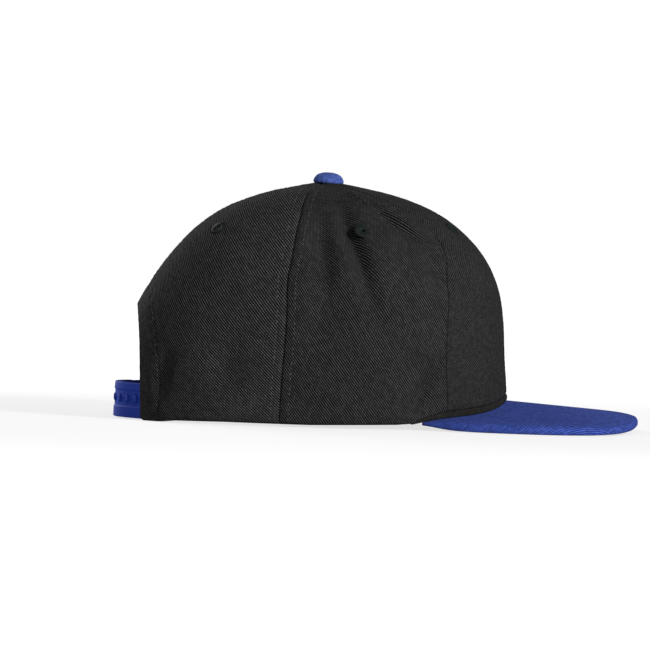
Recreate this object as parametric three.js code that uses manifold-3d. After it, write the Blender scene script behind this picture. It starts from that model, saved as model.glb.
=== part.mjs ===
// Snapback cap: a six-panel crown, a curved peak, a top button, stitched eyelets, a sweatband
// and a two-part plastic strap behind an arched opening. Lengths are in millimetres.
// +X points out over the peak, +Y to the wearer's left and +Z up. The cap stands by itself on
// the back corners of its rim and on the sides of its peak, and the origin is at the bottom
// centre of its box. Angles round the crown are in degrees from the front, positive to the left.
import * as THREE from 'three';
import { mergeVertices } from 'three/addons/utils/BufferGeometryUtils.js';
import Module from 'manifold-3d';

const wasm = await Module();
wasm.setup();

const { degToRad, radToDeg, lerp, smoothstep } = THREE.MathUtils;

// Crown
const CROWN_HEIGHT = 131;
const CROWN_HALF_LENGTH = 107.5;
const CROWN_HALF_WIDTH = 82;
const CROWN_LEAN = 8; // how far the upper sections sit in front of the rim's centre
const PLAN_FULLNESS = 0.02; // how much the rim's corners stand out of an ellipse
const FRONT_WALL = 2; // stiffened cloth
const CLOTH_WALL = 1.6;
const SEAM_GAP = 0.3; // between two pieces that meet
const SEAM_DIP = 0.6; // how far a panel's edge is drawn in at its seam
const SEAM_ROUND = 1.8;
const SEAM_ROUND_LIMIT = 0.25; // as a share of the panel's width there
const PANEL_PUFF = 0.9; // how far a soft panel stands out between its seams
const TOP_HOLE_RADIUS = 3.2;

// Lower edge of the crown, which rises in front over the peak
const FRONT_RISE = 15.2;
const ROLL_HEIGHT = 3.6; // sewn roll between the crown and the peak
const ROLL_SWELL = 0.7;
const ROLL_END_ANGLE = 60;

// Folds of the soft panels
const FOLD_WIDTH = 6;
const FOLD_DEPTH = 2.6;
const FOLD_TAPER = 1.2; // 1 fades a fold as a sine towards its ends, and more fades it sooner

// Arched opening at the back, and the hem round it
const ARCH_HALF_WIDTH = 42.6;
const ARCH_HEIGHT = 62;
const ARCH_POWER = 2.6; // 2 is an ellipse, and more is squarer
const HEM_WIDTH = 12.5;
const HEM_WALL = 2.2;

// Peak
const PEAK_LENGTH = 70.5;
const PEAK_HALF_WIDTH = 92;
const PEAK_WIDEST = 13; // how far in front of the crown the peak is widest
const PEAK_THICKNESS = 4.2;
const PEAK_END_ANGLE = 56;
const PEAK_END_WIDTH = 3.2;
const PEAK_END_THICKNESS = 1.6;
const PEAK_END_FROM = 0.88; // where its edge starts to thin towards the end
const PEAK_END_OUT = 0.7; // its end beside the crown, as shares of PEAK_END_WIDTH
const PEAK_END_BACK = 0.4;
const PEAK_TIP_RISE = 4.4; // how far the middle of the front edge stands above its sides
const PEAK_BULGE = 2.1;
const PEAK_BULGE_SQUARE = 12; // a higher power keeps the bulge fuller up to the edge
const PEAK_SIDE_BULGE = 0.5; // what the sides lose of it
const PEAK_ROUND = 0.85; // rounding of the edge, as a share of half the thickness
const PEAK_ROUND_LIMIT = 0.3; // as a share of the peak's width there
const PEAK_SETTLE = 0.6; // how far its edge hangs below the height at which the board would lie flat
const PEAK_FULLNESS = 0.05; // how much its front corners stand out of an ellipse

// Button and eyelets
const BUTTON_RADIUS = 8.2;
const BUTTON_HEIGHT = 5.4;
const BUTTON_SHANK_RADIUS = 2.4;
const BUTTON_SHANK_LENGTH = 5;
const BUTTON_RIM_DROP = 0.75; // of its rim, as a share of how far the crown falls away there
const EYELET_RADIUS = 4.5;
const EYELET_HEIGHT = 0.8;
const EYELET_BORE = 0.8;
const EYELET_NECK_RADIUS = 1.9;
const EYELET_LIFT = 0.4; // of its ring above the cloth

// Strap
const STRAP_HEIGHT = 19.3;
const STRAP_LIFT = 0.6; // from the floor to the strap's lower edge
const STRAP_WALL = 1.6;
const STRAP_SWELL = 0.7; // how far the outer half stands out of the rim's oval at the back
const STRAP_ANCHOR = 10; // hidden length behind the hem at each end
const STRAP_ROUND = 0.8;
const STRAP_TUCK = 2; // from the arch's edge to where the strap lies right behind the hem
const CHANNEL_WIDTH = 8.6;
const CHANNEL_DEPTH = 0.6;
const CHANNEL_RISE = 0.8; // of the channel's middle above the strap's middle
const CHANNEL_WALL_SLOPE = 0.4;
const SNAP_COUNT = 7;
const SNAP_PITCH = 9.5;
const SNAP_FIRST = -35.2; // of the first snap from the centre back, along the strap
const SNAP_MARGIN = 6.2; // from the last snap to the end of its half
const PEG_RADIUS = 2.2;
const PEG_PROUD = 0.2; // of the pegs above the outer half
const PEG_DOME = 0.7; // height of a peg's rounded end
const STRAP_CLEARANCE = 0.3;

// Sweatband
const BAND_HEIGHT = 31;
const BAND_WALL = 1.2;
const BAND_LIFT = 1.2; // above the crown's lower edge
const BAND_SHIFT_FROM = 116; // it stands further in behind this angle, past the strap's ends
const BAND_SHIFT_TO = 132;

// Crown sections from the rim to the top. Height is a share of CROWN_HEIGHT, lean of CROWN_LEAN,
// length of CROWN_HALF_LENGTH and width of CROWN_HALF_WIDTH. The seams are angles.
const SECTIONS = [
  { height: 0, lean: 0, length: 0.996, width: 1, front_seam: 47.6, back_seam: 99 },
  { height: 0.15, lean: 0, length: 0.989, width: 1.005, front_seam: 47.9, back_seam: 98.8 },
  { height: 0.3, lean: 0.09, length: 0.967, width: 1, front_seam: 47.8, back_seam: 98.8 },
  { height: 0.45, lean: 0.37, length: 0.934, width: 0.978, front_seam: 47.2, back_seam: 100 },
  { height: 0.58, lean: 0.73, length: 0.877, width: 0.925, front_seam: 46.2, back_seam: 102.5 },
  { height: 0.7, lean: 0.96, length: 0.79, width: 0.835, front_seam: 42.6, back_seam: 103.6 },
  { height: 0.8, lean: 1, length: 0.68, width: 0.715, front_seam: 42, back_seam: 104.5 },
  { height: 0.88, lean: 1, length: 0.545, width: 0.57, front_seam: 46, back_seam: 106 },
  { height: 0.937, lean: 1, length: 0.38, width: 0.4, front_seam: 53, back_seam: 110 },
  { height: 0.975, lean: 0.9, length: 0.2, width: 0.21, front_seam: 58, back_seam: 116 },
  { height: 1, lean: 0.75, length: 0, width: 0, front_seam: 60, back_seam: 120 },
];
const TOP_ROW = SECTIONS.length - 1;
// Past the top the columns go on as on the far side of the dome.
const FAR_SIDE = { height: 1, lean: 1, length: -1, width: -1, front_seam: 1, back_seam: 1 };

// Lower edge by angle: rise is a share of FRONT_RISE, roll a share of ROLL_HEIGHT.
const RIM = [
  { angle: 0, rise: 1, roll: 1 },
  { angle: 4, rise: 0.99, roll: 1 },
  { angle: 8, rise: 0.95, roll: 1 },
  { angle: 14, rise: 0.86, roll: 1 },
  { angle: 22, rise: 0.73, roll: 1 },
  { angle: 30, rise: 0.61, roll: 1 },
  { angle: 37, rise: 0.53, roll: 1 },
  { angle: 44, rise: 0.46, roll: 1 },
  { angle: 50, rise: 0.4, roll: 0.9 },
  { angle: 55, rise: 0.3, roll: 0.6 },
  { angle: 60, rise: 0.18, roll: 0.12 },
  { angle: 64, rise: 0.16, roll: 0 },
  { angle: 90, rise: 0.08, roll: 0 },
  { angle: 115, rise: 0.09, roll: 0 },
  { angle: 132, rise: 0.06, roll: 0 },
  { angle: 138, rise: 0, roll: 0 },
  { angle: 180, rise: 0, roll: 0 },
];

// Folds and dents, each from an upper to a lower place. Levels are shares of CROWN_HEIGHT,
// width a share of FOLD_WIDTH and depth of FOLD_DEPTH.
const FOLDS = [
  { upper_angle: -86, upper_level: 0.97, lower_angle: -74, lower_level: 0.5, width: 0.9, depth: 1 },
  { upper_angle: -66, upper_level: 0.97, lower_angle: -51, lower_level: 0.76, width: 0.8, depth: 0.55 },
  { upper_angle: -96, upper_level: 0.95, lower_angle: -87, lower_level: 0.46, width: 1.2, depth: 0.7 },
  { upper_angle: -52, upper_level: 0.74, lower_angle: -50, lower_level: 0.54, width: 1, depth: 0.45 },
  { upper_angle: -51, upper_level: 0.3, lower_angle: -61, lower_level: 0.02, width: 0.9, depth: 0.8 },
  { upper_angle: -89, upper_level: 0.58, lower_angle: -88, lower_level: 0.22, width: 2, depth: 0.5 },
  { upper_angle: -137, upper_level: 0.34, lower_angle: -139, lower_level: 0.05, width: 1.2, depth: 0.55 },
  { upper_angle: -117, upper_level: 0.42, lower_angle: -114, lower_level: 0.08, width: 1.9, depth: 0.6 },
  { upper_angle: 84, upper_level: 0.97, lower_angle: 76, lower_level: 0.52, width: 1.1, depth: 0.7 },
  { upper_angle: 64, upper_level: 0.96, lower_angle: 54, lower_level: 0.78, width: 0.9, depth: 0.5 },
  { upper_angle: 53, upper_level: 0.28, lower_angle: 60, lower_level: 0.03, width: 1, depth: 0.6 },
  { upper_angle: 116, upper_level: 0.44, lower_angle: 120, lower_level: 0.1, width: 1.9, depth: 0.5 },
];

// Height of the peak's edge from its tip (0) round to its end (1), as a share of PEAK_TIP_RISE.
const PEAK_EDGE = [
  { along: 0, rise: 1 },
  { along: 0.12, rise: 0.78 },
  { along: 0.24, rise: 0.36 },
  { along: 0.34, rise: 0.14 },
  { along: 0.46, rise: 0.03 },
  { along: 0.6, rise: 0 },
  { along: 0.84, rise: 0 },
  { along: 0.92, rise: 0.06 },
  { along: 1, rise: 0.42 },
];

// Where the panels' eyelets sit: the height as a share of CROWN_HEIGHT, and the share of the way
// from the panel's front seam to its back seam.
const EYELET_PLACES = {
  front: { level: 0.82, across: 0.5 },
  side: { level: 0.802, across: 0.55 },
  back: { level: 0.794, across: 0.5 },
};

// The eyelet's ring from its outer edge to its bore, as shares of EYELET_RADIUS and EYELET_HEIGHT.
const EYELET_RING = [
  { radius: 1, height: 0 },
  { radius: 0.94, height: 0.6 },
  { radius: 0.62, height: 1 },
  { radius: 0.29, height: 0.7 },
];

// The button's face from its rim to its top, as shares of BUTTON_RADIUS and of its height.
const BUTTON_FACE = [
  { radius: 0.93, height: 0 },
  { radius: 1, height: 0.17 },
  { radius: 0.96, height: 0.37 },
  { radius: 0.8, height: 0.75 },
  { radius: 0.52, height: 0.92 },
  { radius: 0.25, height: 0.98 },
  { radius: 0, height: 1 },
];

// A peg's rounded end, as shares of PEG_RADIUS and of PEG_DOME.
const PEG_END = [
  { radius: 1, height: 0 },
  { radius: 0.7, height: 0.8 },
  { radius: 0, height: 1 },
];

// Mesh steps
const ARCH_STEPS = 8;
const UPPER_STEPS = 7;
const SHOULDER_LEVEL = 0.66; // where the lower rows of a panel's mesh give way to the upper
const PANEL_STEPS = { front: 8, side: 11, back: 8 };
const HEM_STEPS = 3;
const ROLL_STEPS = 30;
const PEAK_STEPS = 32;
const BAND_STEPS = 42;
const STRAP_STEPS = 22;
const ROUND_SIDES = 24;
const SMALL_SIDES = 10;
const LINE_STEP = 0.5; // degrees between the points that measure the strap's line
const LINE_END_ANGLE = 110;
const STATION_GAP = 1; // least distance between a strap's plain stations and its channel's ends
const MERGE_DISTANCE = 1e-4;

const CLOTH = { color: 0x262626, roughness: 0.95, metalness: 0 };
const FRONT_CLOTH = { color: 0x303030, roughness: 0.92, metalness: 0 };
const THREAD = { color: 0x101211, roughness: 0.8, metalness: 0 };
const BLUE_CLOTH = { color: 0x2f4390, roughness: 0.9, metalness: 0 };
const BLUE_PLASTIC = { color: 0x26387c, roughness: 0.42, metalness: 0 };

// The place between low and high where a rising function reaches the target.
function solve(rising, target, low, high) {
  let [from, to] = [low, high];
  for (let i = 0; i < 50; i += 1) {
    const middle = (from + to) / 2;
    if (rising(middle) < target) from = middle;
    else to = middle;
  }
  return (from + to) / 2;
}

// A column of SECTIONS at a fractional row, on a smooth curve through its rows.
function sectionColumn(column, place) {
  const index = Math.min(Math.max(Math.floor(place), 0), TOP_ROW - 1);
  const t = place - index;
  const own = (i) => SECTIONS[i][column];
  const b = own(index);
  const c = own(index + 1);
  const a = index > 0 ? own(index - 1) : 2 * b - c;
  const d = index + 2 <= TOP_ROW ? own(index + 2) : FAR_SIDE[column] * b;
  return b + (t / 2) * (c - a + t * (2 * a - 5 * b + 4 * c - d + t * (3 * (b - c) + d - a)));
}

// A column of a table whose rows lie at the given key, on straight lines between its rows.
function tableColumn(rows, key, column, at) {
  const last = rows.length - 1;
  if (at >= rows[last][key]) return rows[last][column];
  const next = rows.findIndex((row) => row[key] > at);
  const [a, b] = [rows[next - 1], rows[next]];
  return lerp(a[column], b[column], (at - a[key]) / (b[key] - a[key]));
}

const heightAt = (row) => CROWN_HEIGHT * sectionColumn('height', row);
const rowAtHeight = (height) => solve(heightAt, height, 0, TOP_ROW);
const seamAngle = (seam, row) => sectionColumn(seam, row);
const TOP_EDGE_ROW = solve(
  (row) => -CROWN_HALF_WIDTH * sectionColumn('width', row),
  -TOP_HOLE_RADIUS,
  TOP_ROW - 2,
  TOP_ROW,
);
const BUTTON_EDGE_ROW = solve(
  (row) => -CROWN_HALF_WIDTH * sectionColumn('width', row),
  -BUTTON_RADIUS,
  TOP_ROW - 2,
  TOP_ROW,
);
const rimHeight = (angle) => FRONT_RISE * tableColumn(RIM, 'angle', 'rise', Math.abs(angle));
const rollHeight = (angle) => ROLL_HEIGHT * tableColumn(RIM, 'angle', 'roll', Math.abs(angle));
// The panels start above the roll.
function panelFoot(angle) {
  const roll = rollHeight(angle);
  return rimHeight(angle) + roll + Math.min(SEAM_GAP, roll * 2);
}

// The smooth crown, before folds.
function crownBase(angle, row) {
  const turn = degToRad(angle);
  const full = 1 + PLAN_FULLNESS * Math.sin(2 * turn) ** 2;
  return new THREE.Vector3(
    CROWN_LEAN * sectionColumn('lean', row)
      + CROWN_HALF_LENGTH * sectionColumn('length', row) * Math.cos(turn) * full,
    CROWN_HALF_WIDTH * sectionColumn('width', row) * Math.sin(turn) * full,
    heightAt(row),
  );
}

function crownNormal(angle, row) {
  const turnStep = 0.5;
  const rowStep = 0.01;
  const round = crownBase(angle + turnStep, row).sub(crownBase(angle - turnStep, row));
  const up = crownBase(angle, row + rowStep).sub(crownBase(angle, row - rowStep));
  return round.cross(up).normalize();
}

// How far folds and dents draw the cloth in at a place on the crown.
function foldDepth(angle, row) {
  const level = sectionColumn('height', row);
  const radius = (CROWN_HALF_LENGTH * sectionColumn('length', row)
    + CROWN_HALF_WIDTH * sectionColumn('width', row)) / 2;
  let depth = 0;
  for (const fold of FOLDS) {
    const along = (fold.upper_level - level) / (fold.upper_level - fold.lower_level);
    if (along > 0 && along < 1) {
      const middle = lerp(fold.upper_angle, fold.lower_angle, along);
      const across = (degToRad(angle - middle) * radius) / (fold.width * FOLD_WIDTH);
      const fade = Math.sin(Math.PI * along) ** FOLD_TAPER;
      depth += fold.depth * FOLD_DEPTH * fade * Math.exp(-across * across);
    }
  }
  return depth;
}

// How far a soft panel stands out between its seams at a place on the crown.
function panelPuff(angle, row) {
  const around = Math.abs(angle);
  const front = seamAngle('front_seam', row);
  if (around < front) return 0;
  const back = seamAngle('back_seam', row);
  const [from, to] = around < back ? [front, back] : [back, 180];
  const fade = smoothstep(row, 0, 2) * (1 - smoothstep(row, TOP_ROW - 2, TOP_ROW));
  return PANEL_PUFF * fade * Math.sin((Math.PI * (around - from)) / (to - from));
}

// A point at an offset out of the crown's outer face.
function crownPoint(angle, row, offset) {
  const out = offset + panelPuff(angle, row) - foldDepth(angle, row);
  return crownBase(angle, row).addScaledVector(crownNormal(angle, row), out);
}

// The angle on the left of the back whose point lies at the given distance from the middle.
function backAngle(halfWidth, row) {
  const side = (angle) => -crownBase(angle, row).y;
  return solve(side, -halfWidth, 90, 180);
}

function indexed(positions, indices) {
  const geometry = new THREE.BufferGeometry();
  geometry.setAttribute('position', new THREE.Float32BufferAttribute(positions, 3));
  geometry.setIndex(indices);
  return geometry;
}

// Turns the faces of a closed geometry out.
function facingOut(geometry) {
  const corner = (i) => new THREE.Vector3().fromBufferAttribute(geometry.attributes.position, i);
  const index = geometry.index.array;
  let volume = 0;
  for (let i = 0; i < index.length; i += 3) {
    volume += corner(index[i]).dot(corner(index[i + 1]).cross(corner(index[i + 2])));
  }
  if (volume < 0) {
    for (let i = 0; i < index.length; i += 3) {
      [index[i], index[i + 1]] = [index[i + 1], index[i]];
    }
  }
  geometry.computeVertexNormals();
  return geometry;
}

// Closes two matching grids of points, an outer and an inner face, into one solid.
function sheet(outer, inner) {
  const rows = outer.length;
  const columns = outer[0].length;
  const positions = [outer, inner].flat(2).flatMap((point) => point.toArray());
  const at = (face, i, j) => (face * rows + i) * columns + j;
  const indices = [];
  const quad = (a, b, c, d) => indices.push(a, b, c, a, c, d);
  for (let i = 0; i < rows - 1; i += 1) {
    for (let j = 0; j < columns - 1; j += 1) {
      quad(at(0, i, j), at(0, i, j + 1), at(0, i + 1, j + 1), at(0, i + 1, j));
      quad(at(1, i, j), at(1, i + 1, j), at(1, i + 1, j + 1), at(1, i, j + 1));
    }
    quad(at(0, i, 0), at(0, i + 1, 0), at(1, i + 1, 0), at(1, i, 0));
    const last = columns - 1;
    quad(at(0, i, last), at(1, i, last), at(1, i + 1, last), at(0, i + 1, last));
  }
  for (let j = 0; j < columns - 1; j += 1) {
    const last = rows - 1;
    quad(at(0, 0, j), at(1, 0, j), at(1, 0, j + 1), at(0, 0, j + 1));
    quad(at(0, last, j), at(0, last, j + 1), at(1, last, j + 1), at(1, last, j));
  }
  return facingOut(indexed(positions, indices));
}

function solidOf(geometry) {
  const bare = geometry.clone();
  bare.deleteAttribute('normal');
  bare.deleteAttribute('uv');
  const merged = mergeVertices(bare, MERGE_DISTANCE);
  return new wasm.Manifold(new wasm.Mesh({
    numProp: 3,
    vertProperties: Float32Array.from(merged.attributes.position.array),
    triVerts: Uint32Array.from(merged.index.array),
  }));
}

function geometryOf(solid) {
  const { vertProperties, triVerts } = solid.getMesh();
  return facingOut(indexed(Array.from(vertProperties), Array.from(triVerts)));
}

function cut(geometry, tools) {
  const solid = tools.reduce((rest, tool) => rest.subtract(solidOf(tool)), solidOf(geometry));
  return geometryOf(solid);
}

function join(geometry, pieces) {
  const solid = pieces.reduce((sum, piece) => sum.add(solidOf(piece)), solidOf(geometry));
  return geometryOf(solid);
}

// A turned piece with its axis along +Z, from a profile of [radius, height] corners.
function turned(profile, sides) {
  const corners = profile.map(([radius, height]) => new THREE.Vector2(radius, height));
  const geometry = new THREE.LatheGeometry([...corners, corners[0]], sides);
  geometry.rotateX(Math.PI / 2);
  geometry.deleteAttribute('uv');
  geometry.deleteAttribute('normal');
  return facingOut(mergeVertices(geometry, MERGE_DISTANCE));
}

function standing(geometry, place, axis) {
  const turn = new THREE.Quaternion().setFromUnitVectors(new THREE.Vector3(0, 0, 1), axis);
  return geometry.clone().applyMatrix4(
    new THREE.Matrix4().compose(place, turn, new THREE.Vector3(1, 1, 1)),
  );
}

// A round cutter that reaches half its length to both sides of a place.
function drill(radius, length, place, axis) {
  const cutter = new THREE.CylinderGeometry(radius, radius, length, SMALL_SIDES);
  cutter.rotateX(Math.PI / 2);
  return standing(cutter, place, axis);
}

function piece(name, geometry, finish) {
  const mesh = new THREE.Mesh(geometry, new THREE.MeshStandardMaterial(finish));
  mesh.name = name;
  return mesh;
}

// Half width and height of the arch's edge (share 0) or the hem's outer line (share 1).
function archLine(turn, share, margin) {
  const power = 2 / ARCH_POWER;
  const reach = share * HEM_WIDTH + margin;
  return {
    halfWidth: (ARCH_HALF_WIDTH + reach) * Math.max(Math.cos(turn), 0) ** power,
    height: (ARCH_HEIGHT + reach) * Math.sin(turn) ** power,
  };
}

const archTurn = (step) => (Math.PI / 2) * (step / ARCH_STEPS);

// The places of a panel's mesh rows on a seam that rises from one row to the hole at the top.
function seamRows(foot, shoulder) {
  const lower = Array.from({ length: ARCH_STEPS }, (_, i) => lerp(foot, shoulder, i / ARCH_STEPS));
  const upper = Array.from({ length: UPPER_STEPS + 1 }, (_, i) => (
    lerp(shoulder, TOP_EDGE_ROW, i / UPPER_STEPS)));
  return [...lower, ...upper];
}

const PLAIN_ROWS = seamRows(0, rowAtHeight(SHOULDER_LEVEL * CROWN_HEIGHT));

// The edge of the left back panel that runs up the hem's outer line and then the middle seam.
function backEdge() {
  const top = rowAtHeight(archLine(Math.PI / 2, 1, SEAM_GAP).height);
  return seamRows(0, top).map((row, step) => {
    if (step >= ARCH_STEPS) return { row, angle: 180, seam: true };
    const line = archLine(archTurn(step), 1, SEAM_GAP);
    const onHem = rowAtHeight(line.height);
    return { row: onHem, angle: backAngle(line.halfWidth, onHem), seam: false };
  });
}

// The two long edges of a panel of the left half of the crown, from the rim to the top.
function panelEdges(kind) {
  const seam = (name) => PLAIN_ROWS.map((row) => ({ row, angle: seamAngle(name, row), seam: true }));
  if (kind === 'front') {
    return [PLAIN_ROWS.map((row) => ({ row, angle: 0, seam: true })), seam('front_seam')];
  }
  if (kind === 'side') return [seam('front_seam'), seam('back_seam')];
  return [seam('back_seam'), backEdge()];
}

// Half the seam gap as an angle at a place on the crown.
function gapAngle({ angle, row }) {
  const axis = new THREE.Vector3(CROWN_LEAN * sectionColumn('lean', row), 0, heightAt(row));
  return radToDeg(SEAM_GAP / 2 / crownBase(angle, row).distanceTo(axis));
}

// One of the six panels. Side is 1 on the left and -1 on the right.
function panel(kind, side) {
  const wall = kind === 'front' ? FRONT_WALL : CLOTH_WALL;
  const [near, far] = panelEdges(kind);
  const outer = [];
  const inner = [];
  near.forEach((from, step) => {
    const to = far[step];
    const start = from.angle + gapAngle(from);
    const end = to.angle - (to.seam ? gapAngle(to) : 0);
    const width = crownBase(start, from.row).distanceTo(crownBase(end, to.row));
    const edge = Math.min(SEAM_ROUND_LIMIT, SEAM_ROUND / width);
    const outerRow = [];
    const innerRow = [];
    const steps = PANEL_STEPS[kind];
    for (let j = -1; j <= steps + 1; j += 1) {
      const border = j < 0 || j > steps;
      const share = border ? Math.max(0, Math.sign(j)) : lerp(edge, 1 - edge, j / steps);
      const angle = lerp(start, end, share) * side;
      const row = lerp(from.row, to.row, share);
      const foot = rowAtHeight(panelFoot(angle));
      const place = lerp(foot, TOP_EDGE_ROW, row / TOP_EDGE_ROW);
      outerRow.push(crownPoint(angle, place, border ? -SEAM_DIP : 0));
      innerRow.push(crownPoint(angle, place, -wall));
    }
    outer.push(outerRow);
    inner.push(innerRow);
  });
  const { place, axis } = eyeletPlace(kind, side);
  return cut(sheet(outer, inner), [drill(EYELET_NECK_RADIUS + SEAM_GAP, 4 * wall, place, axis)]);
}

// Where a panel's eyelet sits on the outer face, and the direction out of the cloth there.
function eyeletPlace(kind, side) {
  const { level, across } = EYELET_PLACES[kind];
  const row = rowAtHeight(CROWN_HEIGHT * level);
  const seams = [0, seamAngle('front_seam', row), seamAngle('back_seam', row), 180];
  const first = ['front', 'side', 'back'].indexOf(kind);
  const angle = lerp(seams[first], seams[first + 1], across) * side;
  return { place: crownPoint(angle, row, 0), axis: crownNormal(angle, row) };
}

// A ring of thread on the cloth, with a neck through it.
function eyelet(kind, side) {
  const wall = kind === 'front' ? FRONT_WALL : CLOTH_WALL;
  const face = EYELET_RING.map(({ radius, height }) => (
    [EYELET_RADIUS * radius, EYELET_LIFT + EYELET_HEIGHT * height]));
  const ring = turned([
    [EYELET_BORE, -wall],
    [EYELET_NECK_RADIUS, -wall],
    [EYELET_NECK_RADIUS, EYELET_LIFT],
    ...face,
  ], SMALL_SIDES);
  const { place, axis } = eyeletPlace(kind, side);
  return standing(ring, place, axis);
}

// The hem round the arched opening, from the left corner over the top to the right corner. Its
// two feet stand flat on the floor.
function archHem() {
  const outer = [];
  const inner = [];
  for (let i = -ARCH_STEPS; i <= ARCH_STEPS; i += 1) {
    const outerRow = [];
    const innerRow = [];
    const turn = archTurn(ARCH_STEPS - Math.abs(i));
    const side = i < 0 ? 1 : -1;
    for (let j = 0; j <= HEM_STEPS; j += 1) {
      const line = archLine(turn, j / HEM_STEPS, 0);
      const row = rowAtHeight(line.height);
      const angle = i === 0 ? 180 : backAngle(line.halfWidth, row) * side;
      const border = j === 0 || j === HEM_STEPS;
      outerRow.push(crownPoint(angle, row, border ? -SEAM_DIP / 2 : 0.2));
      innerRow.push(crownPoint(angle, row, -HEM_WALL));
    }
    if (Math.abs(i) === ARCH_STEPS) {
      [...outerRow, ...innerRow].forEach((point) => point.setZ(0));
    }
    outer.push(outerRow);
    inner.push(innerRow);
  }
  return sheet(outer, inner);
}

// The sewn roll on which the front of the crown ends, just above the peak.
function seamRoll() {
  const rounding = [-0.5, 0.7, 1, 0.7, -0.5];
  const outer = [];
  const inner = [];
  for (let i = 0; i <= ROLL_STEPS; i += 1) {
    const angle = lerp(-ROLL_END_ANGLE, ROLL_END_ANGLE, i / ROLL_STEPS);
    const points = rounding.map((swell, j) => {
      const height = rimHeight(angle) + rollHeight(angle) * (j / (rounding.length - 1));
      return { row: rowAtHeight(height), swell: swell * ROLL_SWELL * (rollHeight(angle) / ROLL_HEIGHT) };
    });
    outer.push(points.map(({ row, swell }) => crownPoint(angle, row, swell)));
    inner.push(points.map(({ row }) => crownPoint(angle, row, -FRONT_WALL)));
  }
  return sheet(outer, inner);
}

// A point of the peak's outer edge in plan. Along runs from -1 at the right end through 0 at
// the tip to 1 at the left end.
function peakEdge(along) {
  const end = crownPoint(PEAK_END_ANGLE, rowAtHeight(rimHeight(PEAK_END_ANGLE)), 0);
  const widest = CROWN_HALF_LENGTH + PEAK_WIDEST;
  const endTurn = Math.acos((end.y + PEAK_END_WIDTH * PEAK_END_OUT) / PEAK_HALF_WIDTH);
  const back = (widest - end.x + PEAK_END_WIDTH * PEAK_END_BACK) / Math.sin(endTurn);
  const turn = along * (Math.PI / 2 + endTurn);
  const ahead = Math.cos(turn);
  const full = 1 + (ahead > 0 ? PEAK_FULLNESS * Math.sin(2 * turn) ** 2 : 0);
  const reach = ahead > 0 ? CROWN_HALF_LENGTH + PEAK_LENGTH - widest : back;
  return new THREE.Vector3(
    widest + reach * ahead * full,
    PEAK_HALF_WIDTH * Math.sin(turn) * full,
    PEAK_THICKNESS / 2 - PEAK_SETTLE
      + PEAK_TIP_RISE * tableColumn(PEAK_EDGE, 'along', 'rise', Math.abs(along)),
  );
}

// The peak: a stiff curved board, sewn in under the front of the crown, with a rounded edge.
function peak() {
  const shares = [0, 0.1, 0.25, 0.42, 0.6, 0.76, 0.88];
  const edgeTurns = [0, 35, 65, 90];
  const upper = [];
  const lower = [];
  for (let i = 0; i <= PEAK_STEPS; i += 1) {
    const along = lerp(-1, 1, i / PEAK_STEPS);
    const angle = along * PEAK_END_ANGLE;
    const endShare = smoothstep(Math.abs(along), PEAK_END_FROM, 1);
    const half = lerp(PEAK_THICKNESS, PEAK_END_THICKNESS, endShare) / 2;
    const root = crownPoint(angle, rowAtHeight(rimHeight(angle)), -FRONT_WALL);
    root.z = rimHeight(angle) - SEAM_GAP - half;
    const edge = peakEdge(along);
    const width = root.distanceTo(edge);
    const rounding = Math.min(half * PEAK_ROUND, width * PEAK_ROUND_LIMIT);
    const places = [
      ...shares.map((share) => ({ share: share * (1 - rounding / width), drop: 0 })),
      ...edgeTurns.map((turn) => ({
        share: 1 - (rounding * (1 - Math.sin(degToRad(turn)))) / width,
        drop: rounding * (1 - Math.cos(degToRad(turn))),
      })),
    ];
    const side = (sign) => places.map(({ share, drop }) => {
      const point = root.clone().lerp(edge, share);
      const bulge = PEAK_BULGE * (1 - PEAK_SIDE_BULGE * along * along) * (1 - endShare);
      point.z += bulge * share * (1 - share ** PEAK_BULGE_SQUARE) + sign * (half - drop);
      return point;
    });
    upper.push(side(1));
    lower.push(side(-1));
  }
  return sheet(upper, lower);
}

// The cloth-covered button over the meeting of the seams, with a shank through the cloth.
function button() {
  const top = crownBase(0, TOP_ROW).z;
  const clear = top - crownBase(0, BUTTON_EDGE_ROW).z;
  const rim = SEAM_GAP - clear * BUTTON_RIM_DROP;
  const face = BUTTON_FACE.map(({ radius, height }) => (
    [BUTTON_RADIUS * radius, lerp(rim, BUTTON_HEIGHT, height)]));
  return turned([
    [0, -BUTTON_SHANK_LENGTH],
    [BUTTON_SHANK_RADIUS, -BUTTON_SHANK_LENGTH],
    [BUTTON_SHANK_RADIUS, SEAM_GAP],
    ...face,
  ], ROUND_SIDES);
}

// How far the outer face of the inner strap half lies out of the crown, by distance from the
// middle of the back: behind the hem at both ends, and under the outer half between them.
function innerHalfOffset(y) {
  const anchored = -(HEM_WALL + STRAP_CLEARANCE);
  const layer = STRAP_WALL + STRAP_CLEARANCE;
  const middle = STRAP_SWELL - layer;
  const share = smoothstep(Math.abs(y), 0, ARCH_HALF_WIDTH - STRAP_TUCK);
  return lerp(middle, y < 0 ? anchored - layer : anchored, share);
}

const strapRow = (rise) => rowAtHeight(STRAP_LIFT + rise);

// The strap's middle line on the crown as an angle, by distance along it from the centre back.
function strapAngles() {
  const row = strapRow(STRAP_HEIGHT / 2);
  const line = [{ distance: 0, angle: 180 }];
  for (let angle = 180 - LINE_STEP; angle > LINE_END_ANGLE; angle -= LINE_STEP) {
    const last = line[line.length - 1];
    const leg = crownBase(angle, row).distanceTo(crownBase(angle + LINE_STEP, row));
    line.push({ distance: last.distance + leg, angle });
  }
  return line;
}

const STRAP_LINE = strapAngles();

// Distances are positive on the wearer's left.
function strapAngle(distance) {
  const angle = tableColumn(STRAP_LINE, 'distance', 'angle', Math.abs(distance));
  return distance < 0 ? 360 - angle : angle;
}

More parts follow.
